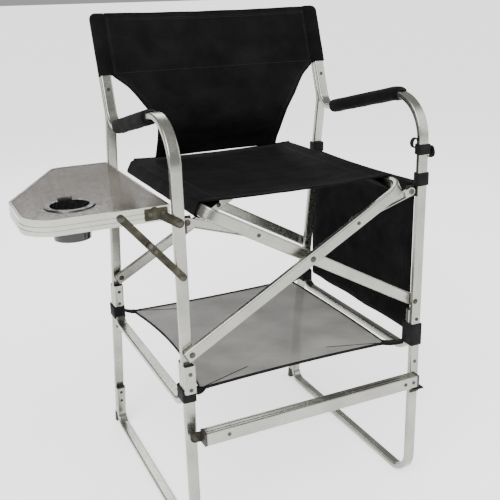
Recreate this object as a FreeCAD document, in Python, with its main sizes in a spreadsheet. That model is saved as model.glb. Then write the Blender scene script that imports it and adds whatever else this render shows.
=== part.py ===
import FreeCAD, Part
import math
import os
import Sketcher

# Tall folding director chair: two bent-tube side frames joined by front and rear scissor braces,
# with a sling seat and back, a mesh shelf, a drop-down side table and a swing-up footrest.
# +Z is up, the chair faces -Y, and the side table is on the -X side.
# The origin lies on the floor under the middle of the chair's box, so the chair's own middle
# plane stands at x = middle_x. All lengths are millimetres and all angles degrees.

doc = FreeCAD.newDocument("director_chair")
sheet = doc.addObject("Spreadsheet::Sheet", "Sizes")

SIZES = [
    # whole chair
    ("middle_x", 122.0), ("middle_y", 6.5),
    ("frame_half", 280.0),
    # side frame tube, wide along X
    ("tube_wide", 24.0), ("tube_deep", 13.0), ("tube_wall", 1.5), ("tube_corner", 3.5),
    # main tube: back post, arm, front leg, floor rail, rear stub
    ("post_top_y", 201.0), ("post_top_z", 1108.0),
    ("arm_rear_y", 118.0), ("arm_rear_z", 864.0),
    ("leg_front_y", -288.5), ("arm_front_z", 951.3),
    ("rail_floor_z", 6.5), ("sled_rear_y", 299.8),
    ("stub_top_y", 279.8), ("stub_top_z", 118.0),
    ("arm_rear_bend", 40.0), ("arm_front_bend", 92.0),
    ("sled_front_bend", 60.0), ("sled_rear_bend", 32.0),
    # rear tube: behind the post, rear leg, shelf rail, front stub
    ("rear_top_y", 169.7), ("rear_top_z", 975.0),
    ("kink_y", 140.8), ("kink_z", 890.0),
    ("shelf_rear_y", 239.6), ("shelf_rail_z", 341.0),
    ("shelf_front_y", -275.3), ("front_stub_z", 446.0),
    ("kink_bend", 60.0), ("shelf_rear_bend", 45.0), ("shelf_front_bend", 45.0),
    # rear lower leg
    ("lower_leg_foot_y", 314.06), ("lower_leg_foot_z", 3.0), ("lower_leg_length", 444.0),
    ("leg_lean", 10.204), ("foot_cap_grip", 1.6), ("foot_cap_height", 27.0),
    # scissor braces
    ("pivot_half", 274.0), ("pivot_z", 472.0), ("open_angle", 29.2),
    ("half_brace", 313.9), ("rail_reach", 568.2), ("brace_high", 26.0), ("brace_deep", 13.0),
    ("brace_bend", 32.0), ("brace_tail", 12.0), ("brace_plug", 1.5),
    ("a_front_y", -302.5), ("a_rear_y", 195.0), ("b_front_y", -274.5), ("b_rear_y", 233.0),
    # pins and rivets
    ("pin_radius", 4.0), ("pin_clearance", 0.05), ("head_radius", 6.5), ("head_high", 1.4),
    ("rivet_radius", 4.2), ("rivet_high", 1.3),
    # links that keep the side frames upright
    ("link_half", 254.0), ("link_z", 730.9), ("link_length", 151.7), ("link_angle", -17.2),
    ("link_wide", 18.0), ("link_deep", 6.0), ("link_wall", 1.6),
    # arm pads
    ("pad_wide", 36.0), ("pad_deep", 31.0), ("pad_length", 290.0), ("arm_slope", 12.13),
    ("pad_rear_y", 74.0), ("pad_rear_z", 873.4), ("pad_gap", 0.3), ("pad_shorter", 45.0),
    # seat, back, shelf
    ("seat_half", 230.0), ("seat_front_y", -256.0), ("seat_rear_y", 200.0),
    ("seat_edge_z", 765.0), ("seat_sag", 9.0), ("seat_thick", 4.0),
    ("back_thick", 3.0), ("back_high_z", 1114.0),
    ("mesh_half", 235.0), ("mesh_front_y", -235.0), ("mesh_rear_y", 245.0),
    ("mesh_z", 352.0), ("mesh_thick", 2.0),
    ("webbing_thick", 2.0), ("webbing_gap", 0.4),
    # side bag
    ("bag_inner_x", 296.5), ("bag_thick", 19.0), ("bag_front_y", -234.0), ("bag_rear_y", 232.0),
    ("bag_low_z", 368.0), ("bag_high_z", 734.0),
    # side table
    ("table_top_z", 780.0), ("band_high", 29.0), ("band_thick", 5.0), ("panel_thick", 6.0),
    ("table_inner_x", -296.0), ("table_outer_x", -561.0),
    ("table_front_y", -295.0), ("table_rear_y", 153.0),
    ("table_clip_outer_y", -118.0), ("table_clip_inner_x", -424.0),
    ("table_front_round", 62.0), ("table_round", 26.0),
    ("cup_x", -462.0), ("cup_y", -204.0), ("cup_radius", 39.0), ("cup_flange", 48.0),
    ("cup_deep", 60.0), ("cup_wall", 2.0), ("cup_gap", 0.4),
    ("hinge_z", 741.0), ("plate_thick", 2.6),
    ("stay_top_x", -391.0), ("stay_top_z", 766.0), ("stay_low_z", 634.0),
    ("stay_lower", 94.0), ("stay_wide", 15.0),
    # footrest
    ("foot_pivot_z", 291.0), ("bar_left_x", -262.0), ("bar_length", 520.0),
    ("bar_deep", 25.0), ("bar_high", 30.0), ("bar_wall", 2.0), ("bar_back_y", -311.2),
    ("lug_thick", 4.0), ("lug_high", 22.0), ("lug_length", 84.0), ("bar_cap", 5.0),
]
for row, (name, size) in enumerate(SIZES, start=1):
    sheet.set(f"A{row}", name)
    sheet.set(f"B{row}", str(size))
    sheet.setAlias(f"B{row}", name)
doc.recompute()

S = {name: float(sheet.get(name)) for name, size in SIZES}
NODES = []
SIDES = (("left", -1), ("right", 1))
X_AXIS = FreeCAD.Vector(1, 0, 0)
Y_AXIS = FreeCAD.Vector(0, 1, 0)
Z_AXIS = FreeCAD.Vector(0, 0, 1)


def value(expression):
    """The number that an expression of sheet cells gives."""
    for name in sorted(S, key=len, reverse=True):
        expression = expression.replace(f"Sizes.{name}", f"({S[name]})")
    return float(sheet.evalExpression(expression))


def keep(thing, label):
    """Give a finished sub-part its label and list it for export."""
    thing.Label = label
    NODES.append(thing)
    return thing


def put(thing, x="0", y="0", z="0", axis=None, angle="0", centred=True):
    """Place an object by expressions, x and y measured from the chair's middle."""
    if centred:
        x, y = f"Sizes.middle_x + {x}", f"Sizes.middle_y + {y}"
    turn = FreeCAD.Rotation(axis or Z_AXIS, value(angle))
    thing.Placement = FreeCAD.Placement(FreeCAD.Vector(value(x), value(y), value(z)), turn)
    for letter, expression in (("x", x), ("y", y), ("z", z)):
        thing.setExpression(f"Placement.Base.{letter}", expression)
    if axis is not None:
        thing.setExpression("Placement.Rotation.Angle", angle)
    return thing


def bind(thing, **expressions):
    """Bind properties of an object to expressions of sheet cells."""
    for name, expression in expressions.items():
        thing.setExpression(name, expression)
    return thing


def box(name, length, width, height, x, y, z):
    """A box given by its lowest corner, measured from the chair's middle."""
    made = doc.addObject("Part::Box", name)
    bind(made, Length=length, Width=width, Height=height)
    return put(made, x, y, z)


def cylinder_y(name, radius, length, x, y, z):
    """A cylinder that starts at (x, y, z) and runs towards +Y."""
    made = doc.addObject("Part::Cylinder", name)
    bind(made, Radius=radius, Height=length)
    return put(made, x, y, z, X_AXIS, "-90")


def drill(base, label, holes):
    """Cut round holes along Y through a sub-part: (radius, x, y start, z, length) each."""
    tools = [
        cylinder_y(f"{label}_hole", radius, length, x, y, z)
        for radius, x, y, z, length in holes
    ]
    cutter = tools[0]
    if len(tools) > 1:
        cutter = doc.addObject("Part::MultiFuse", f"{label}_holes")
        cutter.Shapes = tools
    made = doc.addObject("Part::Cut", f"{label}_drilled")
    made.Base = base
    made.Tool = cutter
    return keep(made, label)


# ---------------------------------------------------------------- sketch helpers

def new_sketch(body, name, plane, offset=None, turn=None):
    """A sketch on one of the body's origin planes, moved by offset and turned about local X."""
    sketch = body.newObject("Sketcher::SketchObject", name)
    face = next(f for f in body.Origin.OriginFeatures if f.Role == plane)
    sketch.AttachmentSupport = (face, [""])
    sketch.MapMode = "FlatFace"
    if offset:
        base = FreeCAD.Vector(*(value(e) for e in offset))
        spin = FreeCAD.Rotation(X_AXIS, value(turn or "0"))
        sketch.AttachmentOffset = FreeCAD.Placement(base, spin)
        for letter, expression in zip("xyz", offset):
            sketch.setExpression(f"AttachmentOffset.Base.{letter}", expression)
        if turn:
            sketch.setExpression("AttachmentOffset.Rotation.Angle", turn)
    return sketch


def dimension(sketch, kind, expression, *geometry):
    """Add a dimension whose value follows an expression of sheet cells."""
    index = sketch.addConstraint(Sketcher.Constraint(kind, *geometry, value(expression)))
    sketch.setExpression(f"Constraints[{index}]", expression)


def rounded_rectangle(sketch, wide, deep, corner):
    """A rounded rectangle about the sketch's origin."""
    w, d, r = value(wide) / 2, value(deep) / 2, value(corner)
    points = [(-w + r, -d), (w - r, -d), (w, -d + r), (w, d - r),
              (w - r, d), (-w + r, d), (-w, d - r), (-w, -d + r)]
    points = [FreeCAD.Vector(u, v, 0) for u, v in points]
    centres = [(w - r, -d + r), (w - r, d - r), (-w + r, d - r), (-w + r, -d + r)]
    first = sketch.GeometryCount
    for side in range(4):
        line = Part.LineSegment(points[2 * side], points[2 * side + 1])
        centre = FreeCAD.Vector(*centres[side], 0)
        start = math.radians(-90 + 90 * side)
        circle = Part.Circle(centre, Z_AXIS, r)
        arc = Part.ArcOfCircle(circle, start, start + math.pi / 2)
        sketch.addGeometry(line)
        sketch.addGeometry(arc)
    for side in range(4):
        line, arc = first + 2 * side, first + 2 * side + 1
        following = first + (2 * side + 2) % 8
        sketch.addConstraint(Sketcher.Constraint("Tangent", line, 2, arc, 1))
        sketch.addConstraint(Sketcher.Constraint("Tangent", arc, 2, following, 1))
        level = "Horizontal" if side % 2 == 0 else "Vertical"
        sketch.addConstraint(Sketcher.Constraint(level, line))
        if side:
            sketch.addConstraint(Sketcher.Constraint("Equal", first + 1, arc))
    sketch.addConstraint(Sketcher.Constraint("Symmetric", first, 1, first + 4, 1, -1, 1))
    dimension(sketch, "Radius", corner, first + 1)
    dimension(sketch, "DistanceX", wide, first + 6, 1, first + 2, 1)
    dimension(sketch, "DistanceY", deep, first, 1, first + 4, 1)


def route(sketch, corners, bends):
    """An open line through the corners, with a tangent arc of the given radius at each."""
    points = [FreeCAD.Vector(value(u), value(v), 0) for u, v in corners]
    last = len(points) - 2
    cuts = []
    for index, bend in enumerate(bends, start=1):
        back = (points[index - 1] - points[index]).normalize()
        ahead = (points[index + 1] - points[index]).normalize()
        half = back.getAngle(ahead) / 2
        reach = value(bend) / math.tan(half)
        middle = (back + ahead).normalize()
        centre = points[index] + middle * (value(bend) / math.sin(half))
        leftward = ahead.cross(back).z > 0
        cuts.append((points[index] + back * reach, points[index] + ahead * reach, centre, leftward))
    starts = [points[0]] + [cut[1] for cut in cuts]
    ends = [cut[0] for cut in cuts] + [points[-1]]
    for start, end in zip(starts, ends):
        sketch.addGeometry(Part.LineSegment(start, end))
    for index, (start, end, centre, leftward) in enumerate(cuts):
        first, second = (start, end) if leftward else (end, start)
        angles = [math.atan2(p.y - centre.y, p.x - centre.x) for p in (first, second)]
        circle = Part.Circle(centre, Z_AXIS, value(bends[index]))
        arc = sketch.addGeometry(Part.ArcOfCircle(circle, *angles))
        joins = (1, 2) if leftward else (2, 1)
        sketch.addConstraint(Sketcher.Constraint("Tangent", index, 2, arc, joins[0]))
        sketch.addConstraint(Sketcher.Constraint("Tangent", arc, joins[1], index + 1, 1))
        dimension(sketch, "Radius", bends[index], arc)
        corner = sketch.addGeometry(Part.Point(points[index + 1]), True)
        sketch.addConstraint(Sketcher.Constraint("PointOnObject", corner, 1, index))
        sketch.addConstraint(Sketcher.Constraint("PointOnObject", corner, 1, index + 1))
        dimension(sketch, "DistanceX", corners[index + 1][0], corner, 1)
        dimension(sketch, "DistanceY", corners[index + 1][1], corner, 1)
    dimension(sketch, "DistanceX", corners[0][0], 0, 1)
    dimension(sketch, "DistanceY", corners[0][1], 0, 1)
    dimension(sketch, "DistanceX", corners[-1][0], last, 2)
    dimension(sketch, "DistanceY", corners[-1][1], last, 2)


def slot_outline(sketch, length, wide):
    """A bar outline with round ends, from the origin to (length, 0)."""
    reach, r = value(length), value(wide) / 2
    sketch.addGeometry(Part.LineSegment(FreeCAD.Vector(0, -r, 0), FreeCAD.Vector(reach, -r, 0)))
    sketch.addGeometry(Part.LineSegment(FreeCAD.Vector(reach, r, 0), FreeCAD.Vector(0, r, 0)))
    far = Part.Circle(FreeCAD.Vector(reach, 0, 0), Z_AXIS, r)
    near = Part.Circle(FreeCAD.Vector(0, 0, 0), Z_AXIS, r)
    sketch.addGeometry(Part.ArcOfCircle(far, -math.pi / 2, math.pi / 2))
    sketch.addGeometry(Part.ArcOfCircle(near, math.pi / 2, 3 * math.pi / 2))
    for pair in ((0, 2, 2, 1), (2, 2, 1, 1), (1, 2, 3, 1), (3, 2, 0, 1)):
        sketch.addConstraint(Sketcher.Constraint("Tangent", *pair))
    sketch.addConstraint(Sketcher.Constraint("Coincident", 3, 3, -1, 1))
    sketch.addConstraint(Sketcher.Constraint("PointOnObject", 2, 3, -1))
    dimension(sketch, "DistanceX", length, 3, 3, 2, 3)
    dimension(sketch, "Radius", f"({wide}) / 2", 3)


def closed_outline(sketch, corners):
    """A closed outline of straight edges through the corners."""
    points = [FreeCAD.Vector(value(u), value(v), 0) for u, v in corners]
    for start, end in zip(points, points[1:] + points[:1]):
        sketch.addGeometry(Part.LineSegment(start, end))
    for index in range(len(points)):
        following = (index + 1) % len(points)
        sketch.addConstraint(Sketcher.Constraint("Coincident", index, 2, following, 1))
        dimension(sketch, "DistanceX", corners[index][0], index, 1)
        dimension(sketch, "DistanceY", corners[index][1], index, 1)


# ---------------------------------------------------------------- piece helpers

def tube_profile(sketch, wide, deep):
    """The hollow section of a side frame or brace tube."""
    rounded_rectangle(sketch, wide, deep, "Sizes.tube_corner")
    rounded_rectangle(sketch, f"{wide} - 2 * Sizes.tube_wall", f"{deep} - 2 * Sizes.tube_wall",
                      "Sizes.tube_corner - Sizes.tube_wall")


def swept_tube(name, plane, corners, bends, profile_plane, profile_offset, turn, wide, deep,
               hollow=True):
    """A bent tube, hollow or solid: its section carried along a flat route."""
    body = doc.addObject("PartDesign::Body", name)
    spine = new_sketch(body, f"{name}_route", plane)
    route(spine, corners, bends)
    section = new_sketch(body, f"{name}_section", profile_plane, profile_offset, turn)
    if hollow:
        tube_profile(section, wide, deep)
    else:
        rounded_rectangle(section, wide, deep, "Sizes.tube_corner")
    pipe = body.newObject("PartDesign::AdditivePipe", f"{name}_pipe")
    pipe.Profile = section
    pipe.Spine = spine
    return body


def straight_tube(name, wide, deep, length, hollow=True):
    """A straight rounded tube or bar along local +Z."""
    body = doc.addObject("PartDesign::Body", name)
    section = new_sketch(body, f"{name}_section", "XY_Plane")
    if hollow:
        tube_profile(section, wide, deep)
    else:
        rounded_rectangle(section, wide, deep, "Sizes.tube_corner")
    pad = body.newObject("PartDesign::Pad", f"{name}_pad")
    pad.Profile = section
    bind(pad, Length=length)
    return body


def flat_bar(name, length, wide, thick):
    """A round-ended bar in the XZ plane, from its first hole to its last; y runs 0 to thick."""
    body = doc.addObject("PartDesign::Body", name)
    outline = new_sketch(body, f"{name}_outline", "XZ_Plane")
    slot_outline(outline, length, wide)
    pad = body.newObject("PartDesign::Pad", f"{name}_pad")
    pad.Profile = outline
    pad.Reversed = True
    bind(pad, Length=thick)
    return body


def side_x(sign, size="Sizes.frame_half"):
    """The x expression of one side's plane."""
    return f"{sign} * {size}"


def cap_head(centre, along, radius, high):
    """A low domed head standing on the plane at centre, rising along the given direction."""
    ball = (radius ** 2 + high ** 2) / (2 * high)
    sphere = Part.makeSphere(ball, centre - along * (ball - high))
    drum = Part.makeCylinder(radius + 1, high + 1, centre, along)
    return sphere.common(drum)


def shaft(x, z, front, rear, radius, steps=()):
    """A pin along Y with a domed head at both ends and optional wider steps."""
    start = FreeCAD.Vector(x + S["middle_x"], front + S["middle_y"], z)
    end = FreeCAD.Vector(x + S["middle_x"], rear + S["middle_y"], z)
    solid = Part.makeCylinder(radius, rear - front, start, Y_AXIS)
    solid = solid.fuse(cap_head(start, -Y_AXIS, S["head_radius"], S["head_high"]))
    solid = solid.fuse(cap_head(end, Y_AXIS, S["head_radius"], S["head_high"]))
    for low, high, step_radius in steps:
        base = FreeCAD.Vector(x + S["middle_x"], low + S["middle_y"], z)
        solid = solid.fuse(Part.makeCylinder(step_radius, high - low, base, Y_AXIS))
    return solid.removeSplitter()


def group(label, solids):
    """Several like pieces as one node."""
    made = doc.addObject("Part::Feature", label)
    made.Shape = Part.Compound(solids) if len(solids) > 1 else solids[0]
    made.Placement = FreeCAD.Placement()
    return keep(made, label)


def rivets(label, places):
    """Domed rivet heads: (x, y, z, outward direction) each, from the chair's middle."""
    heads = []
    for x, y, z, along in places:
        centre = FreeCAD.Vector(x + S["middle_x"], y + S["middle_y"], z)
        drum = Part.makeCylinder(S["rivet_radius"], S["rivet_high"], centre, along)
        top = centre + along * S["rivet_high"]
        rim = [e for e in drum.Edges if e.Curve.TypeId == "Part::GeomCircle"
               and e.Curve.Center.distanceToPoint(top) < 0.1]
        heads.append(drum.makeFillet(0.6 * S["rivet_high"], rim))
    return group(label, heads)


# ---------------------------------------------------------------- side frames

FRONT = -Y_AXIS
REAR = Y_AXIS
FACE = "Sizes.leg_front_y - Sizes.tube_deep / 2"
LEG_FRONT = S["leg_front_y"] - S["tube_deep"] / 2
LEG_BACK = S["leg_front_y"] + S["tube_deep"] / 2
LEAN = math.radians(S["leg_lean"])
HALF_LEAN_DEEP = S["tube_deep"] / 2 / math.cos(LEAN)


def rear_line(z):
    """The rear leg's centre line: its y at a height."""
    foot_y, foot_z = S["shelf_rear_y"], S["shelf_rail_z"]
    top_y, top_z = S["kink_y"], S["kink_z"]
    return foot_y + (top_y - foot_y) * (z - foot_z) / (top_z - foot_z)


PIN_HOLE = "Sizes.pin_radius + Sizes.pin_clearance"
MAIN_CORNERS = [
    ("Sizes.post_top_y", "Sizes.post_top_z"), ("Sizes.arm_rear_y", "Sizes.arm_rear_z"),
    ("Sizes.leg_front_y", "Sizes.arm_front_z"), ("Sizes.leg_front_y", "Sizes.rail_floor_z"),
    ("Sizes.sled_rear_y", "Sizes.rail_floor_z"), ("Sizes.stub_top_y", "Sizes.stub_top_z"),
]
MAIN_BENDS = ["Sizes.arm_rear_bend", "Sizes.arm_front_bend",
              "Sizes.sled_front_bend", "Sizes.sled_rear_bend"]
MAIN_TURN = ("-atan((Sizes.post_top_y - Sizes.arm_rear_y)"
             " / (Sizes.post_top_z - Sizes.arm_rear_z))")
REAR_CORNERS = [
    ("Sizes.rear_top_y", "Sizes.rear_top_z"), ("Sizes.kink_y", "Sizes.kink_z"),
    ("Sizes.shelf_rear_y", "Sizes.shelf_rail_z"), ("Sizes.shelf_front_y", "Sizes.shelf_rail_z"),
    ("Sizes.shelf_front_y", "Sizes.front_stub_z"),
]
REAR_BENDS = ["Sizes.kink_bend", "Sizes.shelf_rear_bend", "Sizes.shelf_front_bend"]
REAR_TURN = "-atan((Sizes.rear_top_y - Sizes.kink_y) / (Sizes.rear_top_z - Sizes.kink_z))"


def front_hole(x, z):
    """A pin hole through the front leg."""
    return (PIN_HOLE, x, f"{FACE} - 1", z, "Sizes.tube_deep + 2")


def rear_hole(x, z):
    """A pin hole through the leaning rear leg."""
    start = rear_line(value(z)) - S["tube_deep"]
    return (PIN_HOLE, x, str(start), z, "2 * Sizes.tube_deep")


def side_frame(side, sign):
    """The three bent tubes of one side, drilled for its pivots."""
    x = side_x(sign)
    main = swept_tube(f"main_{side}", "YZ_Plane", MAIN_CORNERS, MAIN_BENDS, "XY_Plane",
                      ("0", "Sizes.post_top_y", "Sizes.post_top_z"), MAIN_TURN,
                      "Sizes.tube_wide", "Sizes.tube_deep")
    put(main, x)
    rear = swept_tube(f"rear_{side}", "YZ_Plane", REAR_CORNERS, REAR_BENDS, "XY_Plane",
                      ("0", "Sizes.rear_top_y", "Sizes.rear_top_z"), REAR_TURN,
                      "Sizes.tube_wide", "Sizes.tube_deep")
    put(rear, x)
    pivot = side_x(sign, "Sizes.pivot_half")
    main_holes = [front_hole(pivot, "Sizes.pivot_z")]
    rear_holes = [rear_hole(pivot, "Sizes.pivot_z")]
    if side == "left":
        main_holes += [front_hole(x, "Sizes.hinge_z"), front_hole(x, "Sizes.stay_low_z"),
                       front_hole(x, "Sizes.foot_pivot_z")]
        rear_holes += [rear_hole(x, "Sizes.hinge_z"), rear_hole(x, "Sizes.stay_low_z")]
    drill(main, f"main_tube_{side}", main_holes)
    drill(rear, f"rear_tube_{side}", rear_holes)
    lower = straight_tube(f"rear_leg_{side}", "Sizes.tube_wide", "Sizes.tube_deep",
                          "Sizes.lower_leg_length")
    put(lower, x, "Sizes.lower_leg_foot_y", "Sizes.lower_leg_foot_z", X_AXIS, "Sizes.leg_lean")
    keep(lower, f"rear_leg_{side}")


def foot_cap(side, sign):
    """A rubber shoe round the foot of the rear lower leg, flat on the floor."""
    shoe = straight_tube(f"shoe_{side}", "Sizes.tube_wide + 2 * Sizes.foot_cap_grip",
                         "Sizes.tube_deep + 2 * Sizes.foot_cap_grip",
                         "Sizes.foot_cap_height + 8", hollow=False)
    put(shoe, side_x(sign), "Sizes.lower_leg_foot_y + 1.8", "-6", X_AXIS, "Sizes.leg_lean")
    leg = straight_tube(f"shoe_bore_{side}", "Sizes.tube_wide", "Sizes.tube_deep", "60", False)
    put(leg, side_x(sign), "Sizes.lower_leg_foot_y", "Sizes.lower_leg_foot_z",
        X_AXIS, "Sizes.leg_lean")
    ground = box(f"ground_{side}", "80", "80", "40", side_x(sign) + " - 40",
                 "Sizes.lower_leg_foot_y - 40", "-40")
    tools = doc.addObject("Part::MultiFuse", f"shoe_tools_{side}")
    tools.Shapes = [leg, ground]
    made = doc.addObject("Part::Cut", f"foot_{side}")
    made.Base = shoe
    made.Tool = tools
    keep(made, f"rear_foot_cap_{side}")


def plug(name, x, y, z, turn):
    """A flat end plug standing on a tube's open end."""
    made = straight_tube(name, "Sizes.tube_wide", "Sizes.tube_deep", "Sizes.head_high * 2", False)
    return put(made, x, y, z, X_AXIS, turn)


def plugs(side, sign):
    """The plastic plugs in one side frame's open tube ends."""
    x = side_x(sign)
    lean = "Sizes.leg_lean"
    foot = (S["lower_leg_foot_y"], S["lower_leg_foot_z"])
    top_y = foot[0] - S["lower_leg_length"] * math.sin(LEAN)
    top_z = foot[1] + S["lower_leg_length"] * math.cos(LEAN)
    made = [
        plug(f"sled_plug_{side}", x, "Sizes.stub_top_y", "Sizes.stub_top_z", lean),
        plug(f"front_stub_plug_{side}", x, "Sizes.shelf_front_y", "Sizes.front_stub_z", "0"),
        plug(f"leg_plug_{side}", x, str(top_y), str(top_z), lean),
        plug(f"rear_top_plug_{side}", x, "Sizes.rear_top_y", "Sizes.rear_top_z", REAR_TURN),
    ]
    joined = doc.addObject("Part::Compound", f"plugs_{side}")
    joined.Links = made
    keep(joined, f"tube_plugs_{side}")


def arm_pad(side, sign):
    """The foam sleeve on the arm, round outside and bored for the tube."""
    body = doc.addObject("PartDesign::Body", f"pad_{side}")
    section = new_sketch(body, f"pad_{side}_section", "XY_Plane")
    rounded_rectangle(section, "Sizes.pad_wide", "Sizes.pad_deep", "Sizes.pad_deep * 0.42")
    foam = body.newObject("PartDesign::Pad", f"pad_{side}_foam")
    foam.Profile = section
    bind(foam, Length="Sizes.pad_length - Sizes.pad_shorter * %d" % (side == "left"))
    put(body, side_x(sign), "Sizes.pad_rear_y", "Sizes.pad_rear_z",
        X_AXIS, "90 - Sizes.arm_slope")
    bore = swept_tube(f"pad_bore_{side}", "YZ_Plane", MAIN_CORNERS, MAIN_BENDS, "XY_Plane",
                      ("0", "Sizes.post_top_y", "Sizes.post_top_z"), MAIN_TURN,
                      "Sizes.tube_wide + 2 * Sizes.pad_gap", "Sizes.tube_deep + 2 * Sizes.pad_gap",
                      hollow=False)
    put(bore, side_x(sign))
    made = doc.addObject("Part::Cut", f"sleeve_foam_{side}")
    made.Base = body
    made.Tool = bore
    keep(made, f"arm_pad_{side}")


# ---------------------------------------------------------------- braces, pins and links

def brace(name, label, sign, front_y, rear_y):
    """One U-shaped brace: front bar, seat rail and rear bar bent from a single tube."""
    corners = [
        ("-Sizes.brace_tail", front_y), ("Sizes.rail_reach", front_y),
        ("Sizes.rail_reach", rear_y), ("-Sizes.brace_tail", rear_y),
    ]
    body = swept_tube(name, "XY_Plane", corners, ["Sizes.brace_bend"] * 2, "YZ_Plane",
                      (front_y, "0", "-Sizes.brace_tail"), None,
                      "Sizes.brace_deep", "Sizes.brace_high")
    turn = "-Sizes.open_angle" if sign < 0 else "180 + Sizes.open_angle"
    put(body, side_x(sign, "Sizes.pivot_half"), "0", "Sizes.pivot_z", Y_AXIS, turn)
    through = "Sizes.brace_deep + 2"
    holes = []
    for y in (front_y, rear_y):
        start = f"{y} - Sizes.brace_deep / 2 - 1"
        pivot_x = side_x(sign, "Sizes.pivot_half")
        centre_z = "Sizes.pivot_z + Sizes.half_brace * sin(Sizes.open_angle)"
        holes.append((PIN_HOLE, pivot_x, start, "Sizes.pivot_z", through))
        holes.append((PIN_HOLE, "0", start, centre_z, through))
    drill(body, label, holes)


def brace_plugs(label, name, sign, front_y, rear_y):
    """The plastic plugs on a brace's two lower ends."""
    made = []
    turn = "-Sizes.open_angle" if sign < 0 else "180 + Sizes.open_angle"
    x = f"{side_x(sign, 'Sizes.pivot_half')} + {sign} * Sizes.brace_tail * cos(Sizes.open_angle)"
    z = "Sizes.pivot_z - Sizes.brace_tail * sin(Sizes.open_angle)"
    for end, y in (("front", front_y), ("rear", rear_y)):
        body = doc.addObject("PartDesign::Body", f"{name}_{end}")
        section = new_sketch(body, f"{name}_{end}_section", "YZ_Plane")
        rounded_rectangle(section, "Sizes.brace_deep", "Sizes.brace_high", "Sizes.tube_corner")
        cap = body.newObject("PartDesign::Pad", f"{name}_{end}_cap")
        cap.Profile = section
        cap.Reversed = True
        bind(cap, Length="Sizes.brace_plug")
        made.append(put(body, x, y, z, Y_AXIS, turn))
    joined = doc.addObject("Part::Compound", name)
    joined.Links = made
    keep(joined, label)


def pins():
    """The shouldered pins of the braces: two lower pairs and one centre pair."""
    r, gap = S["pin_radius"], 0.1
    half = S["brace_deep"] / 2
    shoulder = 6.5
    pivot_x, pivot_z = S["pivot_half"], S["pivot_z"]
    centre_z = pivot_z + S["half_brace"] * math.sin(math.radians(S["open_angle"]))
    leg_front = rear_line(pivot_z) - HALF_LEAN_DEEP
    leg_back = rear_line(pivot_z) + HALF_LEAN_DEEP
    rise = math.tan(LEAN) * shoulder + gap
    a_front, a_rear = S["a_front_y"], S["a_rear_y"]
    b_front, b_rear = S["b_front_y"], S["b_rear_y"]
    group("pivot_pins_left", [
        shaft(-pivot_x, pivot_z, a_front - half - gap, LEG_BACK + gap, r,
              [(a_front + half + gap, LEG_FRONT - gap, shoulder)]),
        shaft(-pivot_x, pivot_z, a_rear - half - gap, leg_back + rise, r,
              [(a_rear + half + gap, leg_front - rise, shoulder)]),
    ])
    group("pivot_pins_right", [
        shaft(pivot_x, pivot_z, LEG_FRONT - gap, b_front + half + gap, r,
              [(LEG_BACK + gap, b_front - half - gap, shoulder)]),
        shaft(pivot_x, pivot_z, leg_front - rise, b_rear + half + gap, r,
              [(leg_back + rise, b_rear - half - gap, shoulder)]),
    ])
    group("centre_pins", [
        shaft(0, centre_z, a_front - half - gap, b_front + half + gap, r,
              [(a_front + half + gap, b_front - half - gap, shoulder)]),
        shaft(0, centre_z, a_rear - half - gap, b_rear + half + gap, r,
              [(a_rear + half + gap, b_rear - half - gap, shoulder)]),
    ])


LINK_FRONT = {"left": S["b_front_y"] + S["brace_deep"] / 2 + 1.6,
              "right": S["leg_front_y"] - S["link_deep"] / 2}


def link(side, sign):
    """A channel-shaped link from the leg's inner bracket towards the other frame's brace."""
    body = flat_bar(f"link_bar_{side}", "Sizes.link_length", "Sizes.link_wide", "Sizes.link_deep")
    channel = new_sketch(body, f"link_channel_{side}", "XZ_Plane", ("0", "0", "0"))
    rounded_rectangle_at(channel, "Sizes.link_length / 2", "Sizes.link_length - 34",
                         "Sizes.link_wide - 2 * Sizes.link_wall")
    pocket = body.newObject("PartDesign::Pocket", f"link_pocket_{side}")
    pocket.Profile = channel
    pocket.Reversed = False
    bind(pocket, Length="Sizes.link_deep - Sizes.link_wall")
    turn = "-Sizes.link_angle" if sign < 0 else "Sizes.link_angle"
    if sign < 0:
        put(body, side_x(sign, "Sizes.link_half"), str(LINK_FRONT[side]), "Sizes.link_z",
            Y_AXIS, turn)
    else:
        put(body, side_x(sign, "Sizes.link_half"), str(LINK_FRONT[side]), "Sizes.link_z",
            Y_AXIS, "180 + Sizes.link_angle")
    drill(body, f"link_{side}", [
        (PIN_HOLE, side_x(sign, "Sizes.link_half"), f"{LINK_FRONT[side]} - 1", "Sizes.link_z",
         "Sizes.link_deep + 2"),
    ])


def rounded_rectangle_at(sketch, middle, length, high):
    """A plain rectangle of the given length and height, centred at (middle, 0)."""
    low = f"({middle}) - ({length}) / 2"
    far = f"({middle}) + ({length}) / 2"
    closed_outline(sketch, [(low, f"-({high}) / 2"), (far, f"-({high}) / 2"),
                            (far, f"({high}) / 2"), (low, f"({high}) / 2")])


def link_bracket(side, sign):
    """An angle on the leg's inner face: a plate on the leg and an ear behind the link."""
    back = LINK_FRONT[side] + S["link_deep"]
    ear_front, ear_thick, plate_thick = back + 0.3, 2.4, 2.4
    inner = S["frame_half"] - S["tube_wide"] / 2 - 0.1
    reach, low, high = 24.0, S["link_z"] - 12.0, 24.0
    ear_back = ear_front + ear_thick
    plate_x = -inner if sign < 0 else inner - plate_thick
    ear_x = -inner if sign < 0 else inner - reach
    plate = box(f"bracket_plate_{side}", str(plate_thick), str(ear_back - LEG_FRONT - 1), str(high),
                str(plate_x), str(LEG_FRONT + 1), str(low))
    ear = box(f"bracket_ear_{side}", str(reach), str(ear_thick), str(high),
              str(ear_x), str(ear_front), str(low))
    made = doc.addObject("Part::Fuse", f"bracket_{side}")
    made.Base = plate
    made.Tool = ear
    drill(made, f"link_bracket_{side}", [
        (PIN_HOLE, side_x(sign, "Sizes.link_half"), f"{ear_front} - 1", "Sizes.link_z", "5"),
    ])
    return ear_back


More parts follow.
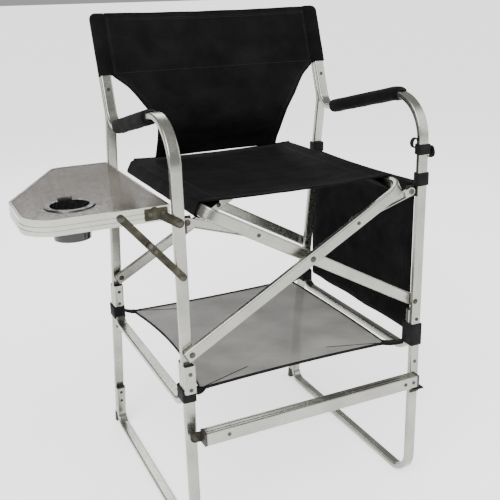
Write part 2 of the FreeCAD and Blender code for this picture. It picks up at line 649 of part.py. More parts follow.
def link_pins():
    """One short pin for each link, riveted flat at the link's face."""
    ends = {}
    for side, sign in SIDES:
        ear_back = link_bracket(side, sign)
        x, z = sign * S["link_half"], S["link_z"]
        start = FreeCAD.Vector(x + S["middle_x"], LINK_FRONT[side] - 0.2 + S["middle_y"], z)
        reach = ear_back + 0.2 - LINK_FRONT[side] + 0.2
        solid = Part.makeCylinder(S["pin_radius"], reach, start, Y_AXIS)
        face = Part.makeCylinder(S["head_radius"], 0.8, start - Y_AXIS * 0.8, Y_AXIS)
        tail = cap_head(start + Y_AXIS * reach, Y_AXIS, S["head_radius"], S["head_high"])
        ends[side] = solid.fuse([face, tail]).removeSplitter()
    for side in ends:
        group(f"link_pin_{side}", [ends[side]])


def pivot_stub(name, y, z, turn):
    """The short tube stub that stands under a left brace pivot."""
    stub = straight_tube(f"{name}_stub", "Sizes.tube_wide", "Sizes.tube_deep", "61")
    return put(stub, side_x(-1), y, z, X_AXIS, turn)


def leaning(y, z, up_y, up_z, along):
    """The front face's point and outward direction on a leaning tube, a way up its centre line."""
    run = math.hypot(up_y - y, up_z - z)
    step_y, step_z = (up_y - y) / run, (up_z - z) / run
    out = FreeCAD.Vector(0, -step_z, step_y)
    centre = FreeCAD.Vector(0, y + step_y * along, z + step_z * along)
    return centre + out * (S["tube_deep"] / 2), out


def frame_rivets(side, sign):
    """The visible rivet heads of one side frame."""
    x = sign * S["frame_half"]
    places = [
        leaning(S["arm_rear_y"], S["arm_rear_z"], S["post_top_y"], S["post_top_z"], 86.6),
        leaning(S["lower_leg_foot_y"], S["lower_leg_foot_z"],
                S["lower_leg_foot_y"] - math.sin(LEAN), S["lower_leg_foot_z"] + math.cos(LEAN), 318),
    ]
    for along in (100, 72):
        places.append(leaning(S["sled_rear_y"], S["rail_floor_z"],
                              S["stub_top_y"], S["stub_top_z"], along))
    if side == "left":
        for height in (395, 430):
            places.append((FreeCAD.Vector(0, LEG_FRONT - S["tube_deep"] - 0.2, height), FRONT))
        for along in (8, 43):
            places.append(leaning(rear_stub_y, STUB_LOW + 1.5,
                                  rear_stub_y - math.sin(LEAN), STUB_LOW + 1.5 + math.cos(LEAN), along))
    else:
        for height in (320, 427):
            places.append((FreeCAD.Vector(0, LEG_FRONT, height), FRONT))
    rivets(f"frame_rivets_{side}", [(x, p.y, p.z, out) for p, out in places])


def brace_rivets(name, sign, front_y):
    """The head of the rivet that holds a link's outer end to its brace."""
    reach = S["link_length"] * math.cos(math.radians(S["link_angle"]))
    drop = S["link_length"] * math.sin(math.radians(S["link_angle"]))
    x = sign * (S["link_half"] - reach)
    rivets(name, [(x, front_y - S["brace_deep"] / 2, S["link_z"] + drop, FRONT)])


# ---------------------------------------------------------------- soft parts

def seat():
    """The sling seat as one thin sheet that sags between the two seat rails."""
    body = doc.addObject("PartDesign::Body", "seat_body")
    section = new_sketch(body, "seat_section", "XZ_Plane")
    half, edge, sag, thick = (S[k] for k in ("seat_half", "seat_edge_z", "seat_sag", "seat_thick"))
    left, right = FreeCAD.Vector(-half, edge, 0), FreeCAD.Vector(half, edge, 0)
    rise = FreeCAD.Vector(0, thick, 0)
    low = FreeCAD.Vector(0, edge - sag, 0)
    section.addGeometry(Part.Arc(left, low, right))
    section.addGeometry(Part.LineSegment(right, right + rise))
    section.addGeometry(Part.Arc(left + rise, low + rise, right + rise))
    section.addGeometry(Part.LineSegment(left + rise, left))
    pad = body.newObject("PartDesign::Pad", "seat_pad")
    pad.Profile = section
    pad.Reversed = True
    bind(pad, Length="Sizes.seat_rear_y - Sizes.seat_front_y")
    put(body, "0", "Sizes.seat_front_y", "0")
    keep(body, "seat_fabric")


def backrest():
    """The back: a sheet across the posts that narrows downwards and runs back to the seat."""
    thick = S["back_thick"] / 2
    lean = (S["post_top_y"] - S["arm_rear_y"]) / (S["post_top_z"] - S["arm_rear_z"])
    waist_z, foot_y, foot_z = 948.0, 182.0, 772.0
    post_y = S["arm_rear_y"] + lean * (S["back_high_z"] - S["arm_rear_z"])
    waist_y = S["arm_rear_y"] + lean * (waist_z - S["arm_rear_z"])
    side = [(post_y, S["back_high_z"]), (waist_y, waist_z), (foot_y, foot_z)]
    profile = [(y - thick, z) for y, z in side] + [(y + thick, z) for y, z in reversed(side)]
    start_x, shift_y = S["middle_x"] - 400, S["middle_y"]
    sheet_face = Part.Face(Part.makePolygon(
        [FreeCAD.Vector(start_x, y + shift_y, z) for y, z in profile + profile[:1]]))
    slab = sheet_face.extrude(X_AXIS * 800)
    half = S["frame_half"] - S["tube_wide"] / 2 - 2.8
    edge = [(half, S["back_high_z"] + 5), (half, 972.0), (228.0, 948.0), (196.0, 905.0),
            (174.0, 862.0), (165.0, 800.0), (165.0, foot_z - 5)]
    outline = [FreeCAD.Vector(S["middle_x"] + x, 0, z) for x, z in edge]
    outline += [FreeCAD.Vector(S["middle_x"] - x, 0, z) for x, z in reversed(edge)]
    front = Part.Face(Part.makePolygon(outline + outline[:1])).extrude(Y_AXIS * 400)
    group("back_fabric", [slab.common(front).Solids[0]])


def back_sleeve(side, sign):
    """The hem sleeve that slips over one back post."""
    body = doc.addObject("PartDesign::Body", f"sleeve_{side}")
    section = new_sketch(body, f"sleeve_{side}_section", "XY_Plane")
    rounded_rectangle(section, "Sizes.tube_wide + 5", "Sizes.tube_deep + 5",
                      "Sizes.tube_corner + 2.5")
    rounded_rectangle(section, "Sizes.tube_wide + 1", "Sizes.tube_deep + 1",
                      "Sizes.tube_corner + 0.5")
    pad = body.newObject("PartDesign::Pad", f"sleeve_{side}_cloth")
    pad.Profile = section
    pad.Reversed = True
    bind(pad, Length="134")
    put(body, side_x(sign), "Sizes.post_top_y + 1", "Sizes.post_top_z + 3", X_AXIS, MAIN_TURN)
    keep(body, f"back_sleeve_{side}")


def shelf():
    """The mesh shelf as one thin panel."""
    made = box("shelf_panel", "2 * Sizes.mesh_half", "Sizes.mesh_rear_y - Sizes.mesh_front_y",
               "Sizes.mesh_thick", "-Sizes.mesh_half", "Sizes.mesh_front_y", "Sizes.mesh_z")
    keep(made, "shelf_mesh")


def loop(name, sign, front, back, low, high, centre="Sizes.frame_half"):
    """A webbing loop round a leg: a rectangular band with a little room inside."""
    half = "(Sizes.tube_wide / 2 + Sizes.webbing_gap)"
    outer_half = f"({half} + Sizes.webbing_thick)"
    x = f"{side_x(sign, centre)}"
    outer = box(f"{name}_outer", f"2 * {outer_half}", f"{back} - {front} + 2 * Sizes.webbing_thick",
                f"{high} - {low}", f"{x} - {outer_half}", f"{front} - Sizes.webbing_thick", low)
    inner = box(f"{name}_inner", f"2 * {half}", f"{back} - {front}", f"{high} - {low} + 2",
                f"{x} - {half}", front, f"{low} - 1")
    made = doc.addObject("Part::Cut", name)
    made.Base = outer
    made.Tool = inner
    return made


def shelf_straps(side, sign):
    """The webbing loops that hold the shelf to one side's front and rear legs."""
    high = "383" if side == "left" else "414"
    front = loop(f"front_loop_{side}", sign, f"({FACE} - 0.4)", "(Sizes.shelf_front_y + 14)",
                 "364", high)
    low_y = str(rear_line(368) - 3 * HALF_LEAN_DEEP)
    high_y = str(rear_line(368) + 3 * HALF_LEAN_DEEP + 0.8)
    rear = loop(f"rear_loop_{side}", sign, low_y, high_y, "368", "386")
    joined = doc.addObject("Part::Compound", f"loops_{side}")
    joined.Links = [front, rear]
    keep(joined, f"shelf_straps_{side}")


def side_bag():
    """The flat storage bag outside the right frame, with its two hanging loops."""
    block = box("bag_block", "Sizes.bag_thick", "Sizes.bag_rear_y - Sizes.bag_front_y",
                "Sizes.bag_high_z - Sizes.bag_low_z", "Sizes.bag_inner_x", "Sizes.bag_front_y",
                "Sizes.bag_low_z")
    keep(block, "side_bag")
    front = loop("bag_front_loop", 1, f"({FACE} - 0.4)", f"({FACE} + Sizes.tube_deep + 0.4)",
                 "745", "768")
    low_y = str(rear_line(768) - HALF_LEAN_DEEP - 0.8)
    high_y = str(rear_line(745) + HALF_LEAN_DEEP + 0.8)
    rear = loop("bag_rear_loop", 1, low_y, high_y, "745", "768")
    joined = doc.addObject("Part::Compound", "bag_loops")
    joined.Links = [front, rear]
    keep(joined, "bag_straps")
    tie = loop("tie_loop", 1, f"({FACE} - 0.4)", f"({FACE} + Sizes.tube_deep + 0.4)",
               "806", "840")
    keep(tie, "storage_strap")


# ---------------------------------------------------------------- side table

def table_outline():
    """The table's outline: a square inner side, a rounded front corner and a clipped rear one."""
    inner, outer = S["table_inner_x"], S["table_outer_x"]
    front, rear = S["table_front_y"], S["table_rear_y"]
    corners = [
        (inner, front, 3.0), (outer, front, S["table_front_round"]),
        (outer, S["table_clip_outer_y"], S["table_round"]),
        (S["table_clip_inner_x"], rear, S["table_round"]), (inner, rear, 3.0),
    ]
    points = [FreeCAD.Vector(x + S["middle_x"], y + S["middle_y"], 0) for x, y, r in corners]
    edges, cuts = [], []
    for index, (x, y, r) in enumerate(corners):
        here = points[index]
        back = (points[index - 1] - here).normalize()
        ahead = (points[(index + 1) % len(points)] - here).normalize()
        half = back.getAngle(ahead) / 2
        middle = (back + ahead).normalize()
        near = here + middle * (r / math.sin(half) - r)
        cuts.append((here + back * (r / math.tan(half)), near, here + ahead * (r / math.tan(half))))
    for index, (start, near, end) in enumerate(cuts):
        edges.append(Part.Arc(start, near, end).toShape())
        edges.append(Part.makeLine(end, cuts[(index + 1) % len(cuts)][0]))
    return Part.Wire(edges)


def prism(wire, low, high):
    """The solid between two heights inside a flat outline."""
    face = Part.Face(wire)
    face.translate(Z_AXIS * low)
    return face.extrude(Z_AXIS * (high - low))


def table():
    """The laminate panel, its grooved aluminium edge band and the cup holder."""
    outline = table_outline()
    top, high, thick = S["table_top_z"], S["band_high"], S["band_thick"]
    lip = outline.makeOffset2D(-thick)
    band = prism(outline, top - high, top).cut(prism(lip, top - high - 1, top + 1))
    for level in (top - 0.36 * high, top - 0.66 * high):
        groove = prism(outline.makeOffset2D(2), level - 1.3, level + 1.3)
        groove = groove.cut(prism(outline.makeOffset2D(-1.2), level - 2, level + 2))
        band = band.cut(groove)
    group("table_edge_band", [band.Solids[0]])
    panel = prism(outline.makeOffset2D(-thick - 0.1), top - 1 - S["panel_thick"], top - 1)
    bore = Part.makeCylinder(S["cup_radius"] + S["cup_gap"], 40,
                             FreeCAD.Vector(S["cup_x"] + S["middle_x"],
                                            S["cup_y"] + S["middle_y"], top - 30))
    group("table_panel", [panel.cut(bore)])


def cup_holder():
    """The black cup: a flanged round pocket that hangs through the panel."""
    body = doc.addObject("PartDesign::Body", "cup_body")
    section = new_sketch(body, "cup_section", "XZ_Plane")
    low = "-Sizes.cup_deep"
    closed_outline(section, [
        ("1", f"{low} - Sizes.cup_wall"), ("Sizes.cup_radius - 4", f"{low} - Sizes.cup_wall"),
        ("Sizes.cup_radius", "-0.1"), ("Sizes.cup_flange", "-0.1"),
        ("Sizes.cup_flange - 1.5", "2.2"), ("Sizes.cup_radius - Sizes.cup_wall", "2.2"),
        ("Sizes.cup_radius - 4 - Sizes.cup_wall", low), ("1", low),
    ])
    turned = body.newObject("PartDesign::Revolution", "cup_turned")
    turned.Profile = section
    turned.ReferenceAxis = (section, ["V_Axis"])
    turned.Angle = 360
    put(body, "Sizes.cup_x", "Sizes.cup_y", "Sizes.table_top_z - 0.8")
    keep(body, "cup_holder")


ARM_ANGLE = 148.0
ARM_LENGTH = 55.0
BAND_MID = S["table_top_z"] - S["band_high"] / 2


def hinge_arm(end):
    """A table hinge: a lever from the leg's pivot to a plate on the edge band."""
    front = end == "front"
    thick = S["plate_thick"]
    y = S["table_front_y"] - thick - 0.1 if front else S["table_rear_y"] + 0.1
    lever = flat_bar(f"lever_{end}", str(ARM_LENGTH), "18", "Sizes.plate_thick")
    put(lever, side_x(-1), str(y), "Sizes.hinge_z", Y_AXIS, str(-ARM_ANGLE))
    plate = box(f"plate_{end}", "44", "Sizes.plate_thick", "22", "-346", str(y),
                str(BAND_MID - 11))
    joined = doc.addObject("Part::Fuse", f"arm_{end}")
    joined.Base = lever
    joined.Tool = plate
    drill(joined, f"table_hinge_{end}", [
        (PIN_HOLE, side_x(-1), f"{y} - 1", "Sizes.hinge_z", "Sizes.plate_thick + 2"),
    ])
    return y


STAY_RUN = "(Sizes.stay_top_x + Sizes.frame_half)"
STAY_RISE = "(Sizes.stay_top_z - Sizes.stay_low_z)"
STAY_ANGLE = f"(180 deg + atan({STAY_RISE} / {STAY_RUN}))"
STAY_UPPER = f"(sqrt({STAY_RUN} ^ 2 + {STAY_RISE} ^ 2) - Sizes.stay_lower)"


def stay(end):
    """One folding stay: the upper bar on the band and the lower bar on the leg."""
    front = end == "front"
    thick = S["plate_thick"]
    upper_y = S["table_front_y"] - thick - 0.1 if front else S["table_rear_y"] + 0.1
    lower_y = upper_y - thick - 0.4 if front else upper_y + thick + 0.4
    upper = flat_bar(f"stay_up_{end}", STAY_UPPER, "Sizes.stay_wide", "Sizes.plate_thick")
    put(upper, "Sizes.stay_top_x", str(upper_y), "Sizes.stay_top_z",
        Y_AXIS, f"180 deg - {STAY_ANGLE}")
    drill(upper, f"stay_upper_{end}", [
        (PIN_HOLE, "Sizes.stay_top_x", f"{upper_y} - 1", "Sizes.stay_top_z",
         "Sizes.plate_thick + 2"),
    ])
    lower = flat_bar(f"stay_low_{end}", "Sizes.stay_lower", "Sizes.stay_wide", "Sizes.plate_thick")
    put(lower, side_x(-1), str(lower_y), "Sizes.stay_low_z", Y_AXIS, f"-{STAY_ANGLE}")
    drill(lower, f"stay_lower_{end}", [
        (PIN_HOLE, side_x(-1), f"{lower_y} - 1", "Sizes.stay_low_z", "Sizes.plate_thick + 2"),
    ])
    return upper_y, lower_y


def one_pin(x, z, low, high, inner, steps=()):
    """A pin along Y whose ends carry the given heads (front, rear)."""
    base = FreeCAD.Vector(x + S["middle_x"], low + S["middle_y"], z)
    solid = Part.makeCylinder(S["pin_radius"], high - low, base, Y_AXIS)
    if "front" in inner:
        solid = solid.fuse(cap_head(base, FRONT, S["head_radius"], S["head_high"]))
    if "rear" in inner:
        tip = base + Y_AXIS * (high - low)
        solid = solid.fuse(cap_head(tip, REAR, S["head_radius"], S["head_high"]))
    for start, end, radius in steps:
        place = FreeCAD.Vector(x + S["middle_x"], start + S["middle_y"], z)
        solid = solid.fuse(Part.makeCylinder(radius, end - start, place, Y_AXIS))
    return solid.removeSplitter()


def table_hardware():
    """Hinge arms, stays, their pins on the legs and on the band, and the band rivets."""
    gap, thick, x = 0.1, S["plate_thick"], -S["frame_half"]
    hinge_y = {end: hinge_arm(end) for end in ("front", "rear")}
    stay_y = {end: stay(end) for end in ("front", "rear")}
    hinge_z, low_z = S["hinge_z"], S["stay_low_z"]
    leg_hinge = rear_line(hinge_z) - HALF_LEAN_DEEP
    leg_stay = rear_line(low_z) - HALF_LEAN_DEEP
    deep = S["tube_deep"]
    shoulder = 6.5
    rise = math.tan(LEAN) * shoulder + gap
    group("table_hinge_pins", [
        one_pin(x, hinge_z, hinge_y["front"] - gap, LEG_BACK + gap, ("front", "rear")),
        one_pin(x, hinge_z, hinge_y["rear"] - gap, leg_hinge + 2 * HALF_LEAN_DEEP + rise,
                ("front", "rear"),
                [(hinge_y["rear"] + thick + gap, leg_hinge - rise, shoulder)]),
    ])
    front_low, rear_low = stay_y["front"][1], stay_y["rear"][1]
    group("stay_leg_pins", [
        one_pin(x, low_z, front_low - gap, LEG_BACK + gap, ("front", "rear"),
                [(front_low + thick + gap, LEG_FRONT - gap, shoulder)]),
        one_pin(x, low_z, rear_low - gap, leg_stay + deep + rise + 1, ("front", "rear"),
                [(rear_low + thick + gap, leg_stay - rise, shoulder)]),
    ])
    top_x, top_z = S["stay_top_x"], S["stay_top_z"]
    front_up, rear_up = stay_y["front"][0], stay_y["rear"][0]
    group("stay_band_pins", [
        one_pin(top_x, top_z, front_up - 0.3, front_up + thick + 0.05, ("front",)),
        one_pin(top_x, top_z, rear_up - 0.05, rear_up + thick + 0.3, ("rear",)),
    ])
    front_face, rear_face = hinge_y["front"], hinge_y["rear"] + thick
    rivets("table_rivets", [
        (-337.0, front_face, 767.0, FRONT), (-311.0, front_face, 767.0, FRONT),
        (-337.0, rear_face, 767.0, REAR), (-311.0, rear_face, 767.0, REAR),
    ])
    low_angle = math.radians(value(STAY_ANGLE))
    elbow_x = x + S["stay_lower"] * math.cos(low_angle)
    elbow_z = low_z + S["stay_lower"] * math.sin(low_angle)
    stop_x = elbow_x - 15.0 * math.cos(low_angle)
    stop_z = elbow_z - 15.0 * math.sin(low_angle)
    rivets("stay_rivets", [
        (elbow_x, front_low, elbow_z, FRONT), (stop_x, front_low, stop_z, FRONT),
        (elbow_x, rear_low + thick, elbow_z, REAR), (stop_x, rear_low + thick, stop_z, REAR),
    ])


# ---------------------------------------------------------------- footrest

def footrest():
    """The swing-up foot bar with its lug, end caps, pivot, catch and rivets."""
    bar = doc.addObject("PartDesign::Body", "foot_bar")
    section = new_sketch(bar, "foot_bar_section", "YZ_Plane")
    rounded_rectangle(section, "Sizes.bar_deep", "Sizes.bar_high", "2.5")
    rounded_rectangle(section, "Sizes.bar_deep - 2 * Sizes.bar_wall",
                      "Sizes.bar_high - 2 * Sizes.bar_wall", "0.8")
    pad = bar.newObject("PartDesign::Pad", "foot_bar_pad")
    pad.Profile = section
    bind(pad, Length="Sizes.bar_length")
    middle_y = "Sizes.bar_back_y - Sizes.bar_deep / 2"
    put(bar, "Sizes.bar_left_x", middle_y, "Sizes.foot_pivot_z")
    top = "Sizes.foot_pivot_z + Sizes.bar_high / 2 - 1.1"
    grooves = [
        box(f"tread_groove_{number}", "Sizes.bar_length + 2", "3", "4", "Sizes.bar_left_x - 1",
            f"Sizes.bar_back_y - Sizes.bar_deep * {share} - 1.5", top)
        for number, share in ((1, 0.3), (2, 0.7))
    ]
    cutter = doc.addObject("Part::MultiFuse", "tread_grooves")
    cutter.Shapes = grooves
    tread = doc.addObject("Part::Cut", "tread")
    tread.Base = bar
    tread.Tool = cutter
    keep(tread, "footrest_bar")
    lug_y = "Sizes.bar_back_y - Sizes.bar_wall - Sizes.lug_thick - 0.2"
    lug = flat_bar("foot_lug", "Sizes.lug_length", "Sizes.lug_high", "Sizes.lug_thick")
    put(lug, side_x(-1), lug_y, "Sizes.foot_pivot_z")
    drill(lug, "footrest_lug", [
        (PIN_HOLE, side_x(-1), f"{lug_y} - 1", "Sizes.foot_pivot_z", "Sizes.lug_thick + 2"),
    ])
    caps = []
    for name, x in (("near", "Sizes.bar_left_x - Sizes.bar_cap"),
                    ("far", "Sizes.bar_left_x + Sizes.bar_length")):
        body = doc.addObject("PartDesign::Body", f"foot_cap_{name}")
        face = new_sketch(body, f"foot_cap_{name}_face", "YZ_Plane")
        rounded_rectangle(face, "Sizes.bar_deep + 1", "Sizes.bar_high + 1", "3")
        block = body.newObject("PartDesign::Pad", f"foot_cap_{name}_pad")
        block.Profile = face
        bind(block, Length="Sizes.bar_cap")
        caps.append(put(body, x, middle_y, "Sizes.foot_pivot_z"))
    slot = box("lug_slot", "Sizes.bar_cap + 2", "Sizes.lug_thick + 0.2", "Sizes.lug_high + 0.4",
               "Sizes.bar_left_x - Sizes.bar_cap - 1", f"{lug_y} - 0.1",
               "Sizes.foot_pivot_z - Sizes.lug_high / 2 - 0.2")
    near = doc.addObject("Part::Cut", "near_cap")
    near.Base = caps[0]
    near.Tool = slot
    joined = doc.addObject("Part::Compound", "bar_caps")
    joined.Links = [near, caps[1]]
    keep(joined, "footrest_end_caps")
    pivot_z, lug_front = S["foot_pivot_z"], value(lug_y)
    group("footrest_pin", [
        one_pin(-S["frame_half"], pivot_z, lug_front - 0.1, LEG_BACK + 0.1, ("front", "rear"),
                [(lug_front + S["lug_thick"] + 0.1, LEG_FRONT - 0.1, 8.0)]),
    ])
    face_y = S["bar_back_y"] - S["bar_deep"]
    rivets("footrest_rivets", [(-213.0, face_y, pivot_z, FRONT), (226.0, face_y, pivot_z, FRONT),
                               (248.0, face_y, pivot_z, FRONT)])
    low = S["foot_pivot_z"] - S["bar_high"] / 2
    shelf_front = face_y - 3.5
    arm = box("catch_arm", "30", str(LEG_FRONT - 0.1 - shelf_front), "2.5", "244",
              str(shelf_front), str(low - 3.2))
    back = box("catch_back", "24", "2.5", "34", "268", str(LEG_FRONT - 2.6), str(low - 34.7))
    made = doc.addObject("Part::Fuse", "catch")
    made.Base = arm
    made.Tool = back
    keep(made, "footrest_catch")


# ---------------------------------------------------------------- assembly

for side_name, side_sign in SIDES:
    side_frame(side_name, side_sign)
    foot_cap(side_name, side_sign)
    plugs(side_name, side_sign)
    arm_pad(side_name, side_sign)
    back_sleeve(side_name, side_sign)
    shelf_straps(side_name, side_sign)
    link(side_name, side_sign)

brace("brace_a_body", "brace_a", -1, "Sizes.a_front_y", "Sizes.a_rear_y")
brace("brace_b_body", "brace_b", 1, "Sizes.b_front_y", "Sizes.b_rear_y")
brace_plugs("brace_a_plugs", "a_plugs", -1, "Sizes.a_front_y", "Sizes.a_rear_y")
brace_plugs("brace_b_plugs", "b_plugs", 1, "Sizes.b_front_y", "Sizes.b_rear_y")
pins()
link_pins()

STUB_LOW = 386.5
front_stub = pivot_stub("front", f"{FACE} - Sizes.tube_deep / 2 - 0.2", str(STUB_LOW), "0")
rear_stub_y = rear_line(STUB_LOW) - 2 * HALF_LEAN_DEEP - 1.2
rear_stub = pivot_stub("rear", str(rear_stub_y), str(STUB_LOW + 1.5), "Sizes.leg_lean")
stubs = doc.addObject("Part::Compound", "stubs")
stubs.Links = [front_stub, rear_stub]
keep(stubs, "pivot_stubs")

for side_name, side_sign in SIDES:
    frame_rivets(side_name, side_sign)
brace_rivets("brace_rivet_a", 1, S["a_front_y"])
brace_rivets("brace_rivet_b", -1, S["b_front_y"])

seat()
backrest()
shelf()
side_bag()
table()
cup_holder()
table_hardware()
footrest()

doc.recompute()


# ---------------------------------------------------------------- write the parts

broken = [f"{item.Name}: {item.State}" for item in doc.Objects
          if {"Invalid", "Error"} & set(item.State)]
for node in NODES:
    if node.Shape.isNull() or not node.Shape.isValid():
        broken.append(f"{node.Label}: bad shape")
if broken:
    raise SystemExit("not written: " + "; ".join(broken))

os.makedirs("parts", exist_ok=True)
for node in NODES:
    node.Shape.exportStep(f"parts/{node.Label}.step")
whole = FreeCAD.BoundBox()
for node in NODES:
    whole.add(node.Shape.optimalBoundingBox(False, False))
print(len(NODES), "parts;", "x", round(whole.XMin, 1), round(whole.XMax, 1),
      "y", round(whole.YMin, 1), round(whole.YMax, 1), "z", round(whole.ZMin, 1), round(whole.ZMax, 1))
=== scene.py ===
import math

import bpy
from mathutils import Matrix, Vector, noise


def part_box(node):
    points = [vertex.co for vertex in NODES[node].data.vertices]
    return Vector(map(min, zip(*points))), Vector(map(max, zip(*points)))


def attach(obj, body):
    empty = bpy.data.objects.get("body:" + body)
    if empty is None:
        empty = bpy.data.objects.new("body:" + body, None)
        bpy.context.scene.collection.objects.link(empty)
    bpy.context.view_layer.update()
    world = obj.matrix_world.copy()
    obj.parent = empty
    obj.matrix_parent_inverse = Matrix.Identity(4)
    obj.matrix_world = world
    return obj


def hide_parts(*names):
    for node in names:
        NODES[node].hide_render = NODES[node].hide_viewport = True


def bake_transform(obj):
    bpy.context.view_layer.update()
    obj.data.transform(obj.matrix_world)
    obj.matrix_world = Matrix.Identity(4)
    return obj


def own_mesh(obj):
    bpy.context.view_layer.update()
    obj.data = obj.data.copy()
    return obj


# The looks of a tall folding director chair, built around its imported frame.
# Chair measures below are millimetres from the chair's own middle plane and leg centre.

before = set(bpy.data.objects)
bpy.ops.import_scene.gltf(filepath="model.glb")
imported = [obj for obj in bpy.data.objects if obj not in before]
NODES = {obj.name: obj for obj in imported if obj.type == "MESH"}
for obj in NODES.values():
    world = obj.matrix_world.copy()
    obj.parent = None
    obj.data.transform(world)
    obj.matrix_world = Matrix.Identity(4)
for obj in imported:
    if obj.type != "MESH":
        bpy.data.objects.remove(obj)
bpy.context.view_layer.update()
MM = 0.001

LEFT_LOW, LEFT_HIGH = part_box("main_tube_left")
RIGHT_LOW, RIGHT_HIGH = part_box("main_tube_right")
MIDDLE_X = (LEFT_LOW.x + RIGHT_HIGH.x) / 2
LEG_FRONT_Y = -295.0
UP = Vector((0, 0, 1))
BACK_OUT = Vector((0, -1, 0.3)).normalized()
MIDDLE_Y = LEFT_LOW.y - LEG_FRONT_Y * MM
FRAME_HALF = (RIGHT_LOW.x + RIGHT_HIGH.x - LEFT_LOW.x - LEFT_HIGH.x) / 4 / MM
TUBE_WIDE = (LEFT_HIGH.x - LEFT_LOW.x) / MM
ARM_SLOPE = math.radians(12.13)


def at(x, y, z):
    """A point given in chair millimetres, in the row frame in metres."""
    return Vector((MIDDLE_X + x * MM, MIDDLE_Y + y * MM, z * MM))


def spline(points, t):
    """A Catmull-Rom value at t through (t, value) points in rising order of t."""
    t = min(max(t, points[0][0]), points[-1][0])
    i = 0
    while i < len(points) - 2 and t > points[i + 1][0]:
        i += 1
    (t1, v1), (t2, v2) = points[i], points[i + 1]
    t0, v0 = points[i - 1] if i else (2 * t1 - t2, 2 * v1 - v2)
    t3, v3 = points[i + 2] if i + 2 < len(points) else (2 * t2 - t1, 2 * v2 - v1)
    m1, m2 = (v2 - v0) / (t2 - t0), (v3 - v1) / (t3 - t1)
    h = t2 - t1
    s = (t - t1) / h
    return ((2 * s ** 3 - 3 * s ** 2 + 1) * v1 + (s ** 3 - 2 * s ** 2 + s) * h * m1
            + (3 * s ** 2 - 2 * s ** 3) * v2 + (s ** 3 - s ** 2) * h * m2)


# ---------------------------------------------------------------- materials

class Paint:
    """A node material under construction, measured in the row frame."""

    def __init__(self, name, rough, metal=0.0):
        self.material = bpy.data.materials.new(name)
        self.material.use_nodes = True
        self.tree = self.material.node_tree
        self.shader = self.tree.nodes["Principled BSDF"]
        self.shader.inputs["Roughness"].default_value = rough
        self.shader.inputs["Metallic"].default_value = metal
        self.place = self.tree.nodes.new("ShaderNodeTexCoord").outputs["Object"]

    def link(self, start, end):
        self.tree.links.new(start, end)

    def stretched(self, scale):
        node = self.tree.nodes.new("ShaderNodeMapping")
        node.inputs["Scale"].default_value = scale
        self.link(self.place, node.inputs["Vector"])
        return node.outputs["Vector"]

    def noise(self, size, detail=4.0, stretch=(1, 1, 1)):
        """Cloudy noise whose blobs are about size metres across."""
        node = self.tree.nodes.new("ShaderNodeTexNoise")
        node.inputs["Scale"].default_value = 1 / size
        node.inputs["Detail"].default_value = detail
        self.link(self.stretched(stretch), node.inputs["Vector"])
        return node.outputs["Fac"]

    def threads(self, pitch, direction):
        """Ridges pitch metres apart along X, Y or Z, or diagonal."""
        node = self.tree.nodes.new("ShaderNodeTexWave")
        node.bands_direction = direction
        node.inputs["Scale"].default_value = math.pi / 10 / pitch
        node.inputs["Distortion"].default_value = 0.25
        self.link(self.place, node.inputs["Vector"])
        return node.outputs["Fac"]

    def math(self, operation, first, second):
        node = self.tree.nodes.new("ShaderNodeMath")
        node.operation = operation
        for socket, item in zip(node.inputs, (first, second)):
            if isinstance(item, (int, float)):
                socket.default_value = item
            else:
                self.link(item, socket)
        return node.outputs[0]

    def ramp(self, fac, *stops):
        """A colour ramp of (place, colour) stops, colours as grey or three numbers."""
        node = self.tree.nodes.new("ShaderNodeValToRGB")
        while len(node.color_ramp.elements) < len(stops):
            node.color_ramp.elements.new(0.5)
        for element, (place, colour) in zip(node.color_ramp.elements, stops):
            element.position = place
            triple = (colour,) * 3 if isinstance(colour, float) else colour
            element.color = (*triple, 1)
        self.link(fac, node.inputs["Fac"])
        return node.outputs["Color"]

    def colour(self, output):
        self.link(output, self.shader.inputs["Base Color"])

    def rough(self, output):
        self.link(output, self.shader.inputs["Roughness"])

    def bump(self, height, distance, strength=1.0):
        node = self.tree.nodes.new("ShaderNodeBump")
        node.inputs["Distance"].default_value = distance
        node.inputs["Strength"].default_value = strength
        self.link(height, node.inputs["Height"])
        self.link(node.outputs["Normal"], self.shader.inputs["Normal"])

    def set(self, **sockets):
        for name, amount in sockets.items():
            self.shader.inputs[name.replace("_", " ")].default_value = amount
        return self.material


def aluminium(name, dark, light, rough=0.34):
    """Satin anodised aluminium with fine drawing lines, faint smudges and scuffs."""
    paint = Paint(name, rough, metal=0.92)
    clouds = paint.noise(0.09, 6.0)
    lines = paint.noise(0.004, 3.0, (1, 0.04, 0.04))
    scuffs = paint.noise(0.012, 8.0)
    paint.colour(paint.ramp(clouds, (0.3, dark), (0.7, light)))
    blend = paint.math("ADD", paint.math("MULTIPLY", clouds, 0.5), paint.math("MULTIPLY", scuffs, 0.5))
    paint.rough(paint.ramp(blend, (0.3, rough - 0.07), (0.55, rough), (0.72, rough + 0.14)))
    paint.bump(lines, 0.00003, 0.06)
    return paint.material


def steel(name, dark, light, rough=0.42):
    """Darkened plated steel with brown patches and brighter rubbed spots."""
    paint = Paint(name, rough, metal=0.85)
    patches = paint.noise(0.02, 7.0)
    pits = paint.noise(0.0015, 4.0)
    paint.colour(paint.ramp(patches, (0.3, dark), (0.62, light), (0.8, tuple(2 * c for c in light))))
    paint.rough(paint.ramp(patches, (0.35, rough + 0.12), (0.75, rough - 0.12)))
    paint.bump(pits, 0.00015, 0.45)
    return paint.material


